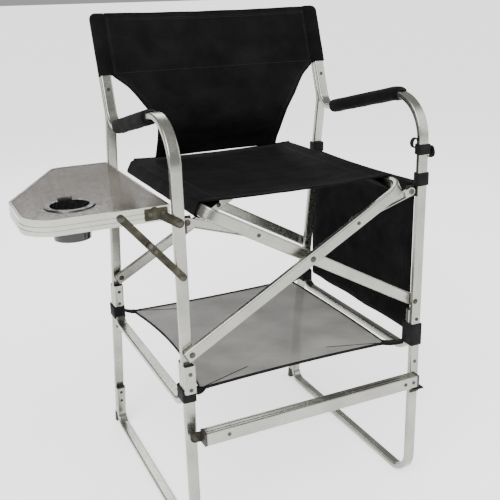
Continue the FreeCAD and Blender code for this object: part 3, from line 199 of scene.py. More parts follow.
def woven(name, dark, light, pitch=0.0009, sheen=0.012):
    """Coarse woven polyester: crossing threads, faded patches, lint and a soft sheen."""
    paint = Paint(name, 0.82)
    warp = paint.math("ADD", paint.threads(pitch, "X"), paint.threads(pitch, "Y"))
    weave = paint.math("ADD", warp, paint.threads(pitch, "Z"))
    fade = paint.noise(0.07, 6.0)
    lint = paint.noise(0.0022, 2.0)
    shade = paint.math("ADD", paint.math("MULTIPLY", fade, 0.75), paint.math("MULTIPLY", weave, 0.08))
    paint.colour(paint.ramp(paint.math("ADD", shade, paint.math("MULTIPLY", lint, 0.12)),
                            (0.35, dark), (0.8, light)))
    paint.rough(paint.ramp(fade, (0.3, 0.95), (0.75, 0.8)))
    soft = paint.noise(0.03, 3.0, (0.6, 1, 1.6))
    height = paint.math("ADD", paint.math("MULTIPLY", weave, 0.12), paint.math("MULTIPLY", soft, 1.6))
    paint.bump(height, 0.0016, 0.6)
    return paint.set(Sheen_Weight=sheen, Sheen_Roughness=0.4, Specular_IOR_Level=0.06)


def webbing(name):
    """Ribbed black strap webbing."""
    paint = Paint(name, 0.78)
    ribs = paint.math("ADD", paint.threads(0.0016, "Z"), paint.threads(0.0016, "DIAGONAL"))
    wear = paint.noise(0.02, 6.0)
    paint.colour(paint.ramp(wear, (0.3, (0.004, 0.004, 0.0045)), (0.8, (0.012, 0.012, 0.013))))
    paint.rough(paint.ramp(wear, (0.3, 0.85), (0.8, 0.65)))
    paint.bump(ribs, 0.0005, 0.7)
    return paint.set(Sheen_Weight=0.02, Specular_IOR_Level=0.1)


def net(name):
    """Open polyester mesh: pale threads with see-through holes between them."""
    paint = Paint(name, 0.6)
    pitch = 0.0032
    grid = paint.math("MAXIMUM", paint.threads(pitch, "X"), paint.threads(pitch, "Y"))
    fade = paint.noise(0.12, 5.0)
    yarn = paint.noise(0.0015, 2.0)
    tone = paint.math("ADD", paint.math("MULTIPLY", fade, 0.8), paint.math("MULTIPLY", yarn, 0.3))
    paint.colour(paint.ramp(tone, (0.35, (0.10, 0.094, 0.085)), (0.75, (0.34, 0.32, 0.29))))
    holes = paint.ramp(grid, (0.3, 0.4), (0.5, 0.9))
    paint.link(holes, paint.shader.inputs["Alpha"])
    paint.bump(grid, 0.0006, 0.6)
    return paint.set(Sheen_Weight=0.15)


def foam(name):
    """Skinned black foam with fine pores and dusty wear."""
    paint = Paint(name, 0.9)
    pores = paint.noise(0.0016, 5.0)
    dust = paint.noise(0.05, 7.0)
    paint.colour(paint.ramp(dust, (0.3, (0.0015, 0.0015, 0.0015)), (0.8, (0.006, 0.006, 0.0055))))
    paint.rough(paint.ramp(dust, (0.3, 0.95), (0.8, 0.75)))
    paint.bump(paint.math("ADD", pores, paint.math("MULTIPLY", dust, 1.5)), 0.0008, 0.6)
    return paint.set(Sheen_Weight=0.02, Specular_IOR_Level=0.1)


def plastic(name, dark, light, rough=0.4):
    """Moulded plastic with a fine grain and light scratches."""
    paint = Paint(name, rough)
    grain = paint.noise(0.0009, 3.0)
    scratches = paint.noise(0.006, 7.0, (1, 0.2, 1))
    paint.colour(paint.ramp(scratches, (0.3, dark), (0.8, light)))
    paint.rough(paint.ramp(scratches, (0.35, rough - 0.08), (0.7, rough + 0.12)))
    paint.bump(grain, 0.00012, 0.4)
    return paint.material


def laminate(name):
    """Glossy grey-beige laminate, faintly mottled and finely scratched."""
    paint = Paint(name, 0.13)
    mottle = paint.noise(0.05, 7.0)
    grain = paint.noise(0.003, 5.0, (1, 0.25, 1))
    tone = paint.math("ADD", paint.math("MULTIPLY", mottle, 0.8), paint.math("MULTIPLY", grain, 0.2))
    paint.colour(paint.ramp(tone, (0.32, (0.085, 0.073, 0.058)), (0.5, (0.115, 0.102, 0.086)),
                            (0.7, (0.14, 0.128, 0.108))))
    paint.rough(paint.ramp(grain, (0.3, 0.09), (0.75, 0.2)))
    paint.bump(mottle, 0.0003, 0.12)
    return paint.set(Coat_Weight=0.1, Coat_Roughness=0.06, Specular_IOR_Level=0.4)


TUBE = aluminium("satin_tube", (0.25, 0.25, 0.22), (0.38, 0.38, 0.345), 0.27)
BAND = aluminium("bright_band", (0.36, 0.36, 0.32), (0.52, 0.52, 0.48), 0.22)
STEEL = steel("dark_steel", (0.018, 0.017, 0.011), (0.045, 0.042, 0.029))
PIN = steel("rivet_steel", (0.03, 0.028, 0.024), (0.075, 0.07, 0.062), 0.35)
CLOTH = woven("black_canvas", (0.0022, 0.0021, 0.0023), (0.0085, 0.0078, 0.008))
BAG_CLOTH = woven("black_bag_canvas", (0.0024, 0.0024, 0.0028), (0.0085, 0.0083, 0.009), 0.0012)
WEB = webbing("black_webbing")
THREAD = plastic("black_thread", (0.006, 0.006, 0.006), (0.02, 0.02, 0.021), 0.7)
NET = net("grey_mesh")
FOAM = foam("black_foam")
PLASTIC = plastic("black_plastic", (0.008, 0.008, 0.008), (0.025, 0.025, 0.025))
GLOSS = plastic("gloss_black_plastic", (0.006, 0.006, 0.006), (0.016, 0.016, 0.016), 0.16)
RUBBER = plastic("black_rubber", (0.01, 0.01, 0.01), (0.035, 0.034, 0.033), 0.7)
LAMINATE = laminate("table_laminate")

CARRIED = [
    (TUBE, ("main_tube", "rear_tube", "rear_leg", "brace_a", "brace_b", "pivot_stubs",
            "link_left", "link_right", "footrest_bar")),
    (BAND, ("table_edge_band",)),
    (STEEL, ("link_bracket", "table_hinge_front", "table_hinge_rear", "stay_upper", "stay_lower",
             "footrest_lug", "footrest_catch")),
    (PIN, ("pivot_pins", "centre_pins", "link_pin", "table_hinge_pins", "stay_leg_pins",
           "stay_band_pins", "frame_rivets", "brace_rivet", "table_rivets", "stay_rivets",
           "footrest_rivets", "footrest_pin")),
    (PLASTIC, ("tube_plugs", "brace_a_plugs", "brace_b_plugs", "footrest_end_caps")),
    (RUBBER, ("rear_foot_cap",)),
    (GLOSS, ("cup_holder",)),
    (LAMINATE, ("table_panel",)),
]


def paint_carried_nodes():
    """Give every carried-over CAD node its material; the longest matching name wins."""
    for name, thing in NODES.items():
        choices = [(len(start), material) for material, starts in CARRIED
                   for start in starts if name.startswith(start)]
        if not choices:
            continue
        material = max(choices, key=lambda choice: choice[0])[1]
        thing.data.materials.clear()
        thing.data.materials.append(material)


# ---------------------------------------------------------------- mesh helpers

def make_mesh(name, points, faces, material):
    """A smooth-shaded mesh object in the row frame."""
    mesh = bpy.data.meshes.new(name)
    mesh.from_pydata([tuple(p) for p in points], [], faces)
    mesh.polygons.foreach_set("use_smooth", [True] * len(mesh.polygons))
    mesh.materials.append(material)
    mesh.update()
    thing = bpy.data.objects.new(name, mesh)
    bpy.context.scene.collection.objects.link(thing)
    return thing


def apply_modifiers(thing):
    """Bake an object's modifiers into its mesh."""
    bpy.context.view_layer.update()
    graph = bpy.context.evaluated_depsgraph_get()
    baked = bpy.data.meshes.new_from_object(thing.evaluated_get(graph))
    thing.modifiers.clear()
    thing.data = baked
    return thing


def grid(name, columns, rows, point, material, thick=0.0, smooth=0):
    """A sheet of cloth from point(u, v), u and v running 0 to 1, with a thickness in mm."""
    points = [point(c / columns, r / rows) for r in range(rows + 1) for c in range(columns + 1)]
    wide = columns + 1
    faces = [(r * wide + c, r * wide + c + 1, (r + 1) * wide + c + 1, (r + 1) * wide + c)
             for r in range(rows) for c in range(columns)]
    thing = make_mesh(name, points, faces, material)
    if thick:
        solid = thing.modifiers.new("thickness", "SOLIDIFY")
        solid.thickness = thick * MM
        solid.offset = 0
    if smooth:
        subdivision = thing.modifiers.new("smooth", "SUBSURF")
        subdivision.levels = smooth
        subdivision.render_levels = smooth
    return apply_modifiers(thing)


def sweep(name, path, sides, section, material, closed=False):
    """Carry a closed section of (side, out) millimetres along a path; sides give its side way."""
    points, faces = [], []
    count, ring = len(path), len(section)
    for index, centre in enumerate(path):
        before = path[index - 1] if index or closed else path[index]
        after = path[(index + 1) % count] if index < count - 1 or closed else path[index]
        tangent = (after - before).normalized()
        side = sides[index] - tangent * sides[index].dot(tangent)
        side.normalize()
        out = tangent.cross(side)
        points += [centre + (side * a + out * b) * MM for a, b in section]
    for index in range(count if closed else count - 1):
        start, end = index * ring, ((index + 1) % count) * ring
        for k in range(ring):
            j = (k + 1) % ring
            faces.append((start + k, start + j, end + j, end + k))
    if not closed:
        faces.append(tuple(reversed(range(ring))))
        faces.append(tuple(range((count - 1) * ring, count * ring)))
    return make_mesh(name, points, faces, material)


def flat_section(wide, thick, steps=4):
    """A flat strip's section with rounded edges."""
    r = thick / 2
    half = wide / 2 - r
    section = []
    for centre, first in ((half, -90), (-half, 90)):
        for k in range(steps + 1):
            angle = math.radians(first + 180 * k / steps)
            section.append((centre + r * math.cos(angle), r * math.sin(angle)))
    return section


def stitches(name, path, out, dash=3.2, gap=2.0, radius=0.35):
    """A row of thread dashes along a path, standing on the cloth by the out direction."""
    points, faces = [], []
    spare = 0.0
    for start, end in zip(path, path[1:]):
        run = (end - start).length / MM
        if run < 1e-6:
            continue
        step = (end - start) / run
        while spare + dash < run:
            a = start + step * spare
            side = step.cross(out).normalized()
            base = len(points)
            for share, height in ((0.0, 0.1), (0.25, 1.0), (0.75, 1.0), (1.0, 0.1)):
                centre = a + step * dash * share
                for s, h in ((-1, 0.0), (-0.6, 0.9), (0.6, 0.9), (1, 0.0)):
                    points.append(centre + side * s * radius * MM * max(height, 0.4)
                                  + out * h * radius * MM * height * 1.4)
            for ringed in range(3):
                for k in range(3):
                    p = base + ringed * 4 + k
                    faces.append((p, p + 1, p + 5, p + 4))
            spare += dash + gap
        spare -= run
    return make_mesh(name, points, faces, THREAD)


def join(name, *things):
    """Several meshes as one object."""
    things = list(things)
    with bpy.context.temp_override(active_object=things[0], object=things[0],
                                   selected_objects=things, selected_editable_objects=things):
        bpy.ops.object.join()
    things[0].name = name
    return things[0]


def ripple(x, y, z, size, seed=0.0):
    """Smooth noise from -1 to 1 at a place in chair millimetres."""
    return noise.noise(Vector((x / size + seed, y / size, z / size)))


# ---------------------------------------------------------------- seat

SEAT_FRONT, SEAT_REAR = -256.0, 200.0
SEAT_SAG = 13.0
EDGE_Z = 765.2


def seat_height(x, y):
    """The top of the seat cloth between the rails."""
    share = min(abs(x) / 221.0, 1.0)
    edge = 1.0 - 0.65 * math.exp(-((y - SEAT_FRONT) / 60.0) ** 2)
    edge -= 0.5 * math.exp(-((y - SEAT_REAR) / 50.0) ** 2)
    sag = SEAT_SAG * (1 - share ** 2) * edge
    pull = (1 - share ** 4)
    folds = 1.5 * ripple(x * 0.28, y, 0, 34.0) + 0.8 * ripple(x * 0.5, y, 9, 15.0, 4.0)
    lift = 4.5 * max(0.0, (y - 40.0) / 160.0) ** 1.5
    return EDGE_Z - sag + folds * pull * 0.9 + lift


def seat_section():
    """The cloth's path across the chair: round one rail, over the seat, round the other."""
    sleeve = [(178, 760.2), (190, 755.0), (206, 744.6), (217, 736.2), (221.5, 733.2), (226, 733.2),
              (233.5, 737.6), (236.0, 741.0), (233.2, 746.4), (228.2, 756.2), (224.8, 763.0),
              (222.4, 765.2), (219, 765.6)]
    middle = [214 - 428 * k / 48 for k in range(49)]
    path = [(x, z) for x, z in sleeve] + [(x, None) for x in middle]
    return path + [(-x, z) for x, z in reversed(sleeve)]


def seat_seams():
    """The seat's rolled front and rear hems and all its rows of stitches."""
    extras = []
    for name, y, inward in (("front", SEAT_FRONT, 1), ("rear", SEAT_REAR, -1)):
        line = [at(x, y + 0.5 * inward, seat_height(x, y) + 0.1)
                for x in [216 - 432 * k / 60 for k in range(61)]]
        hem = sweep(f"seat_{name}_hem", line, [UP] * len(line),
                    flat_section(3.4, 3.0), CLOTH)
        extras.append(hem)
        for offset in (11, 15):
            row = [at(x, y + offset * inward, seat_height(x, y + offset * inward) + 1.0)
                   for x in [212 - 424 * k / 60 for k in range(61)]]
            extras.append(stitches(f"seat_{name}_stitches", row, UP))
    for sign in (-1, 1):
        for inset in (180, 184):
            row = [at(sign * inset, y, seat_height(sign * inset, y) + 1.0)
                   for y in [SEAT_FRONT + 6 + 422 * k / 60 for k in range(61)]]
            extras.append(stitches("seat_side_stitches", row, UP))
    return join("seat_hems", *extras)


def seat():
    """The sling seat with its rail sleeves, rolled hems and stitch rows."""
    section = seat_section()
    rows = 56

    def place(u, v):
        x, z = section[round(u * (len(section) - 1))]
        y = SEAT_FRONT + (SEAT_REAR - SEAT_FRONT) * v
        wave = 1.6 * ripple(x, 0, 3, 55.0) if v in (0.0, 1.0) else 0.0
        if z is None:
            z = seat_height(x, y)
        else:
            z += 0.5 * ripple(x, y, z, 26.0)
            x += 0.7 * ripple(y, z, x, 30.0)
        return at(x, y + wave, z)

    cloth = grid("seat_cloth", len(section) - 1, rows, place, CLOTH, thick=1.6, smooth=1)
    hems = seat_seams()
    for thing in (cloth, hems):
        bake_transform(thing)
    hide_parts("seat_fabric")


# ---------------------------------------------------------------- backrest

BACK_TOP, SLEEVE_LOW, BACK_LOW = 1112.0, 979.0, 770.0
SLEEVE_INNER, BACK_WIDEST = 262.0, 263.0
STITCH_LIFT = 1.2
# Half widths and y of the cloth, by height.
BACK_HALF = [(770, 165), (800, 165), (865, 173), (905, 198), (948, 229), (966, 250),
             (979, 263), (1112, 263)]
BACK_Y = [(770, 182), (795, 169), (820, 152), (865, 130), (905, 133), (948, 146.6), (1000, 164.3),
          (1060, 184.7), (1114, 203)]


def back_y(z):
    """The back cloth's y at a height."""
    return spline(BACK_Y, z)


def back_half(z):
    """Half the back's width at a height."""
    return spline(BACK_HALF, z) if z < SLEEVE_LOW else BACK_WIDEST


def back_point(x, z, outward=0.0):
    """A point of the back cloth, hollowed a little and wrinkled across."""
    width = back_half(z)
    share = min(abs(x) / width, 1.0)
    belly = 5.5 * (1 - share ** 2)
    tension = (1 - share ** 6)
    folds = (2.6 * ripple(x * 0.22, z, 1, 38.0) + 1.2 * ripple(x * 0.4, z, 5, 17.0, 3.0)) * tension
    if z < 960:
        folds *= 1.35
    return at(x, back_y(z) + belly + folds + outward, z)


def back_top(x):
    """The top edge's height: a slight dip between the posts."""
    share = min(abs(x) / BACK_WIDEST, 1.0)
    return BACK_TOP - 3.0 * (1 - share ** 2) + 0.8 * ripple(x, 0, 7, 60.0)


def back_side_seams(sign):
    """One side's rolled hem and its rows of stitches, beside the waist and the post pocket."""
    heights = [BACK_LOW + 2 + (SLEEVE_LOW - 1 - BACK_LOW) * k / 60 for k in range(61)]
    pocket_heights = [SLEEVE_LOW + 4 + 126 * k / 30 for k in range(31)]
    edge = [back_point(sign * (back_half(z) - 0.6), z) for z in heights]
    seams = [sweep("back_edge_hem", edge, [Vector((0, 1, 0))] * len(edge),
                   flat_section(3.4, 3.2), CLOTH)]
    for inset in (9, 13):
        row = [back_point(sign * (back_half(z) - inset), z, -STITCH_LIFT) for z in heights]
        seams.append(stitches("back_edge_stitches", row, Vector((0, -1, 0.2)).normalized()))
    for inset in (5, 9):
        row = [back_point(sign * (BACK_WIDEST - inset), z, -STITCH_LIFT) for z in pocket_heights]
        seams.append(stitches("back_sleeve_stitches", row, BACK_OUT))
    return seams


def back_cross_seams():
    """The top hem with its stitches, and the row of stitches across the waist's start."""
    across = [260 - 520 * k / 80 for k in range(81)]
    top = [back_point(x, back_top(x)) for x in across]
    seams = [sweep("back_top_hem", top, [Vector((0, 1, 0))] * len(top),
                   flat_section(3.6, 3.4), CLOTH)]
    for drop in (10, 14):
        row = [back_point(x, back_top(x) - drop, -STITCH_LIFT) for x in across]
        seams.append(stitches("back_top_stitches", row, BACK_OUT))
    row = [back_point(x, SLEEVE_LOW + 2, -1.3) for x in across]
    seams.append(stitches("back_waist_stitches", row, BACK_OUT))
    return seams


def back_panel():
    """The cloth between the post sleeves, waisted and running down behind the seat."""
    def place(u, v):
        base = BACK_LOW + (BACK_TOP - BACK_LOW) * v
        x = (2 * u - 1) * back_half(base)
        z = BACK_LOW + (back_top(x) - BACK_LOW) * v
        return back_point(x, z)

    cloth = grid("back_cloth", 64, 72, place, CLOTH, thick=1.8, smooth=1)
    hems = join("back_hems", *back_side_seams(-1), *back_side_seams(1), *back_cross_seams())
    for thing in (cloth, hems):
        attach(thing, "left_frame")
        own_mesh(thing)
    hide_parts("back_fabric")


def back_sleeve(side, sign):
    """The cloth pocket over one post: a rounded shell with a closed, rounded top corner."""
    rings, around = 40, 28
    points, faces = [], []
    for r in range(rings + 1):
        v = r / rings
        z = SLEEVE_LOW - 2 + (BACK_TOP + 1.0 - SLEEVE_LOW + 2) * v
        close = max(0.0, (v - 0.9) / 0.1)
        shrink = math.sqrt(max(0.0, 1 - close ** 2 * 0.97))
        outer_x = FRAME_HALF + 15.2 - 12.0 * (1 - shrink)
        inner_x = SLEEVE_INNER - 1.0
        middle, half = (outer_x + inner_x) / 2, (outer_x - inner_x) / 2
        deep = 9.6 * max(shrink, 0.25)
        for k in range(around):
            angle = 2 * math.pi * k / around
            c, s = math.cos(angle), math.sin(angle)
            px = middle + half * math.copysign(abs(c) ** 0.6, c)
            taper = 0.35 + 0.65 * min(1.0, max(0.0, (px - inner_x) / 12.0))
            py = deep * taper * math.copysign(abs(s) ** 0.6, s)
            wobble = 0.6 * ripple(px, py, z, 22.0, 2.0 * sign)
            points.append(at(sign * px, back_y(z) + py + wobble, z - 0.34 * py))
    for r in range(rings):
        for k in range(around):
            j = (k + 1) % around
            faces.append((r * around + k, r * around + j, (r + 1) * around + j, (r + 1) * around + k))
    faces.append(tuple(range(rings * around, (rings + 1) * around)))
    name = f"back_pocket_{side}"
    shell = make_mesh(name, points, faces, CLOTH)
    solid = shell.modifiers.new("thickness", "SOLIDIFY")
    solid.thickness = 1.2 * MM
    solid.offset = 1.0
    apply_modifiers(shell)
    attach(shell, f"{side}_frame")
    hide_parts(f"back_sleeve_{side}")


# ---------------------------------------------------------------- mesh shelf

SHELF_Z = 352.0
SHELF_HALF, SHELF_FRONT, SHELF_REAR = 236.0, -236.0, 245.0
LEFT_INSET, RIGHT_INSET, END_INSET = 24.0, -5.0, 8.0


def shelf_point(u, v, lift=0.0):
    """A point of the mesh shelf; its edges pull in between the corners."""
    a, b = 2 * u - 1, 2 * v - 1
    mid_y, half_y = (SHELF_FRONT + SHELF_REAR) / 2, (SHELF_REAR - SHELF_FRONT) / 2
    inset = LEFT_INSET if a < 0 else RIGHT_INSET
    x = a * (SHELF_HALF - inset * (1 - b * b))
    y = mid_y + b * (half_y - END_INSET * (1 - a * a))
    sag = 7.0 * (1 - a * a) * (1 - b * b)
    return at(x, y, SHELF_Z - sag + 1.6 * ripple(x, y, 0, 70.0) * (1 - a ** 4) * (1 - b ** 4) + lift)


def shelf():
    """The mesh shelf with its black binding and corner seams."""
    panel = grid("shelf_net", 60, 60, shelf_point, NET, thick=1.0)
    steps = 48
    along = [k / steps for k in range(steps + 1)]
    edges = [[shelf_point(u, 0) for u in along], [shelf_point(1, v) for v in along],
             [shelf_point(1 - u, 1) for u in along], [shelf_point(0, 1 - v) for v in along]]
    binding = []
    for line in edges:
        binding.append(sweep("shelf_binding", line, [UP] * len(line),
                             flat_section(7.0, 3.0), WEB))
    for a, b, c, d in ((0, 0, 0.28, 0.09), (0, 1, 0.28, 0.91), (1, 0, 0.72, 0.09), (1, 1, 0.72, 0.91)):
        seam = [shelf_point(a + (c - a) * k / 20, b + (d - b) * k / 20, 0.7) for k in range(21)]
        binding.append(sweep("shelf_seam", seam, [Vector((0, 1, 0))] * 21,
                             flat_section(2.2, 1.2), WEB))
    trim = join("shelf_trim", *binding)
    for thing in (panel, trim):
        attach(thing, "left_frame")
        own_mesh(thing)
    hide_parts("shelf_mesh")


# ---------------------------------------------------------------- straps

def loop_path(x, low_y, high_y, z, room=1.6, corner=3.0):
    """Points of a level rounded rectangle round a leg."""
    half = TUBE_WIDE / 2 + room
    path = []
    corners = ((half, high_y, 0), (-half, high_y, 90), (-half, low_y, 180), (half, low_y, 270))
    for cx, cy, first in corners:
        inset_x = cx - math.copysign(corner, cx)
        inset_y = cy - (corner if cy == high_y else -corner)
        for k in range(5):
            angle = math.radians(first + 90 * k / 4)
            path.append(at(x + inset_x + corner * math.cos(angle),
                           inset_y + corner * math.sin(angle), z))
    return path


def strap_loop(name, x, low_y, high_y, low_z, high_z):
    """A webbing loop round a leg, with softly uneven edges."""
    middle = (low_z + high_z) / 2
    path = loop_path(x, low_y, high_y, middle)
    path = [p + Vector((0, 0, 1.2 * MM * ripple(p.x / MM, p.y / MM, middle, 14.0))) for p in path]
    return sweep(name, path, [UP] * len(path), flat_section(high_z - low_z, 2.2, 4), WEB,
                 closed=True)


def tongue(name, start, end, wide_start, wide_end):
    """A tapering flat webbing tab from one place to another."""
    steps = 14
    points, faces = [], []
    along = end - start
    side = along.cross(UP).normalized()
    up = side.cross(along).normalized()
    for k in range(steps + 1):
        t = k / steps
        wide = wide_start + (wide_end - wide_start) * t
        sag = -3.0 * math.sin(math.pi * t)
        centre = start + along * t + Vector((0, 0, sag * MM))
        for s, h in ((-0.5, 0.9), (0.5, 0.9), (0.5, -0.9), (-0.5, -0.9)):
            points.append(centre + side * s * wide * MM + up * h * MM)
    for k in range(steps):
        for m in range(4):
            n = (m + 1) % 4
            faces.append((4 * k + m, 4 * k + n, 4 * k + 4 + n, 4 * k + 4 + m))
    faces.append((3, 2, 1, 0))
    faces.append(tuple(4 * steps + m for m in range(4)))
    return make_mesh(name, points, faces, WEB)


def shelf_straps(side, sign):
    """The loops round the legs and the tabs that carry the shelf's corners."""
    high = 392 if side == "left" else 414
    x = sign * FRAME_HALF
    front = strap_loop("front_loop", x, -297.2, -259.5, 362, high)
    rear_low, rear_high = 213.5, 257.0
    tab_x, tab_z = sign * 266, 366
    rear = strap_loop("rear_loop", x, rear_low, rear_high, 352, 385)
    corner_x = sign * (SHELF_HALF - 6)
    tab_front = tongue("front_tab", at(corner_x, SHELF_FRONT + 6, SHELF_Z + 1),
                       at(tab_x, -270, tab_z), 26, 30)
    tab_rear = tongue("rear_tab", at(corner_x, SHELF_REAR - 6, SHELF_Z + 1),
                      at(tab_x, 238, tab_z), 26, 30)
    piece = join(f"shelf_ties_{side}", front, rear, tab_front, tab_rear)
    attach(piece, f"{side}_frame")
    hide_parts(f"shelf_straps_{side}")


BAG_COLUMNS, BAG_ROWS = 44, 36


def bag_points(x_span, y_span, z_span):
    """The bag's outer face and then its inner face, each a grid of soft folds."""
    (x0, x1), (y0, y1), (z0, z1) = x_span, y_span, z_span
    middle_x, half_x = (x0 + x1) / 2, (x1 - x0) / 2
    columns, rows = BAG_COLUMNS, BAG_ROWS
    points = []
    for face in (1, -1):
        for r in range(rows + 1):
            for c in range(columns + 1):
                u, v = c / columns, r / rows
                rim = min(u, 1 - u, v, 1 - v)
                full = math.sqrt(max(0.0, 1 - (1 - min(rim / 0.11, 1)) ** 2))
                bulge = 0.34 + 0.66 * (1 - (2 * u - 1) ** 2) * (0.55 + 0.45 * (1 - v))
                y = y0 + (y1 - y0) * u
                droop = 5.0 * math.sin(math.pi * u) * v
                z = z0 + (z1 - z0) * v - droop + 3.0 * (1 - v) * ripple(y, 0, 1, 90.0)
                folds = 1.6 * ripple(y * 0.6, z, face, 48.0) + 0.7 * ripple(y, z, face * 3, 19.0)
                x = middle_x + face * (half_x * bulge * full * 0.86 + 0.6) + folds * full
                points.append(at(x, y, z))
    return points


def bag_faces():
    """The quads of the bag's two faces and of the border that closes them."""
    columns, rows = BAG_COLUMNS, BAG_ROWS
    wide = columns + 1
    sheet_size = wide * (rows + 1)
    faces = []
    for face in (0, 1):
        for r in range(rows):
            for c in range(columns):
                a = face * sheet_size + r * wide + c
                quad = (a, a + 1, a + wide + 1, a + wide)
                faces.append(quad if face == 0 else tuple(reversed(quad)))
    border = ([r * wide for r in range(rows, 0, -1)] + list(range(columns))
              + [r * wide + columns for r in range(rows)]
              + [rows * wide + c for c in range(columns, 0, -1)])
    for a, b in zip(border, border[1:] + border[:1]):
        faces.append((b, a, a + sheet_size, b + sheet_size))
    return faces


def bag_trim(points, middle_x, top_z):
    """The bag's hem stitches, its bound mouth and the tabs to its hanging loops."""
    columns, rows = BAG_COLUMNS, BAG_ROWS
    wide = columns + 1
    hem_share, hem_gap, row_length = 0.93, 0.025, 60
    extras = []
    for v in (hem_share, hem_share + hem_gap):
        row = []
        for k in range(row_length + 1):
            index = (round(v * rows)) * wide + round(k / row_length * columns)
            row.append(points[index] + Vector((0.6 * MM, 0, (v - hem_share) * 160 * MM)))
        extras.append(stitches("bag_hem_stitches", row, Vector((1, 0, 0)), dash=3.5))
    mouth = points[rows * wide:rows * wide + wide]
    mouth = [p + Vector((-0.4 * MM, 0, 0)) for p in mouth]
    extras.append(sweep("bag_binding", mouth, [UP] * wide, flat_section(9.0, 3.4), WEB))
    tab_wide, loop_z = 22, 752
    for name, bag_y, loop_y in (("front", -225.0, -276.0), ("rear", 203.0, 176.0)):
        start = at(middle_x - 2, bag_y, top_z - 22)
        end = at(FRAME_HALF + 14.5, loop_y, loop_z)
        extras.append(tongue(f"bag_{name}_tab", start, end, tab_wide, tab_wide))
    return join("bag_trim", *extras)


def side_bag():
    """The slim storage bag outside the right frame, hung from two loops."""
    low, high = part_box("side_bag")
    x_span = (low.x - MIDDLE_X) / MM, (high.x - MIDDLE_X) / MM
    y_span = (low.y - MIDDLE_Y) / MM, (high.y - MIDDLE_Y) / MM
    z_span = low.z / MM, high.z / MM
    points = bag_points(x_span, y_span, z_span)
    bag = make_mesh("bag", points, bag_faces(), BAG_CLOTH)
    subdivision = bag.modifiers.new("smooth", "SUBSURF")
    subdivision.levels = 1
    apply_modifiers(bag)
    trim = bag_trim(points, sum(x_span) / 2, z_span[1])
    for thing in (bag, trim):
        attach(thing, "right_frame")
    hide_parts("side_bag")


def slack_ring(x, y, z, radius):
    """A small loop of tie strap standing off the leg."""
    steps = 20
    path, sides = [], []
    for k in range(steps):
        angle = 2 * math.pi * k / steps
        path.append(at(x + radius * math.cos(angle), y, z + 1.15 * radius * math.sin(angle)))
        sides.append(Vector((0, 1, 0)))
    return sweep("tie_ring", path, sides, flat_section(12, 2.0), WEB, closed=True)


def leg_straps():
    """The bag's two hanging loops and the tie strap with its free tail."""
    front = strap_loop("bag_front_loop", FRAME_HALF, -297.4, -279.6, 742, 770)
    low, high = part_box("bag_straps")
    rear_high = (high.y - MIDDLE_Y) / MM
    rear = strap_loop("bag_rear_loop", FRAME_HALF, rear_high - 26.5, rear_high, 744, 768)
    loops = join("bag_loops", front, rear)
    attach(loops, "right_frame")
    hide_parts("bag_straps")
    tie = strap_loop("tie", FRAME_HALF, -297.6, -279.4, 810, 832)
    steps = 16
    tail_path = []
    for k in range(steps + 1):
        angle = math.radians(-80 + 250 * k / steps)
        reach = 13.0 * math.sin(math.pi * k / steps) ** 0.7
        tail_path.append(at(FRAME_HALF + 13 + reach, -291 + 3 * math.cos(angle),
                            816 + 12 * math.cos(math.pi * k / steps)))
    tail = sweep("tie_tail", tail_path, [Vector((0, 1, 0))] * len(tail_path),
                 flat_section(16, 2.0), WEB)
    whole = join("tie_strap", tie, tail, slack_ring(FRAME_HALF - 19, -287, 836, 9.0))
    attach(whole, "right_frame")
    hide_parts("storage_strap")


# ---------------------------------------------------------------- arm pads

def arm_line(distance):
    """A place on the arm's centre line and its direction, from the pad's rear end forwards."""
    straight, bend = 257.0, 92.0
    start_y, start_z = 74.0, 873.4
    ahead_y, ahead_z = -math.cos(ARM_SLOPE), math.sin(ARM_SLOPE)
    if distance <= straight:
        return start_y + ahead_y * distance, start_z + ahead_z * distance, ahead_y, ahead_z
    turn = (distance - straight) / bend
    y, z = start_y + ahead_y * straight, start_z + ahead_z * straight
    centre_y, centre_z = y - ahead_z * bend, z + ahead_y * bend
    out_y, out_z = (y - centre_y) / bend, (z - centre_z) / bend
    c, s = math.cos(turn), math.sin(turn)
    out_y, out_z = out_y * c - out_z * s, out_y * s + out_z * c
    return centre_y + out_y * bend, centre_z + out_z * bend, -out_z, out_y


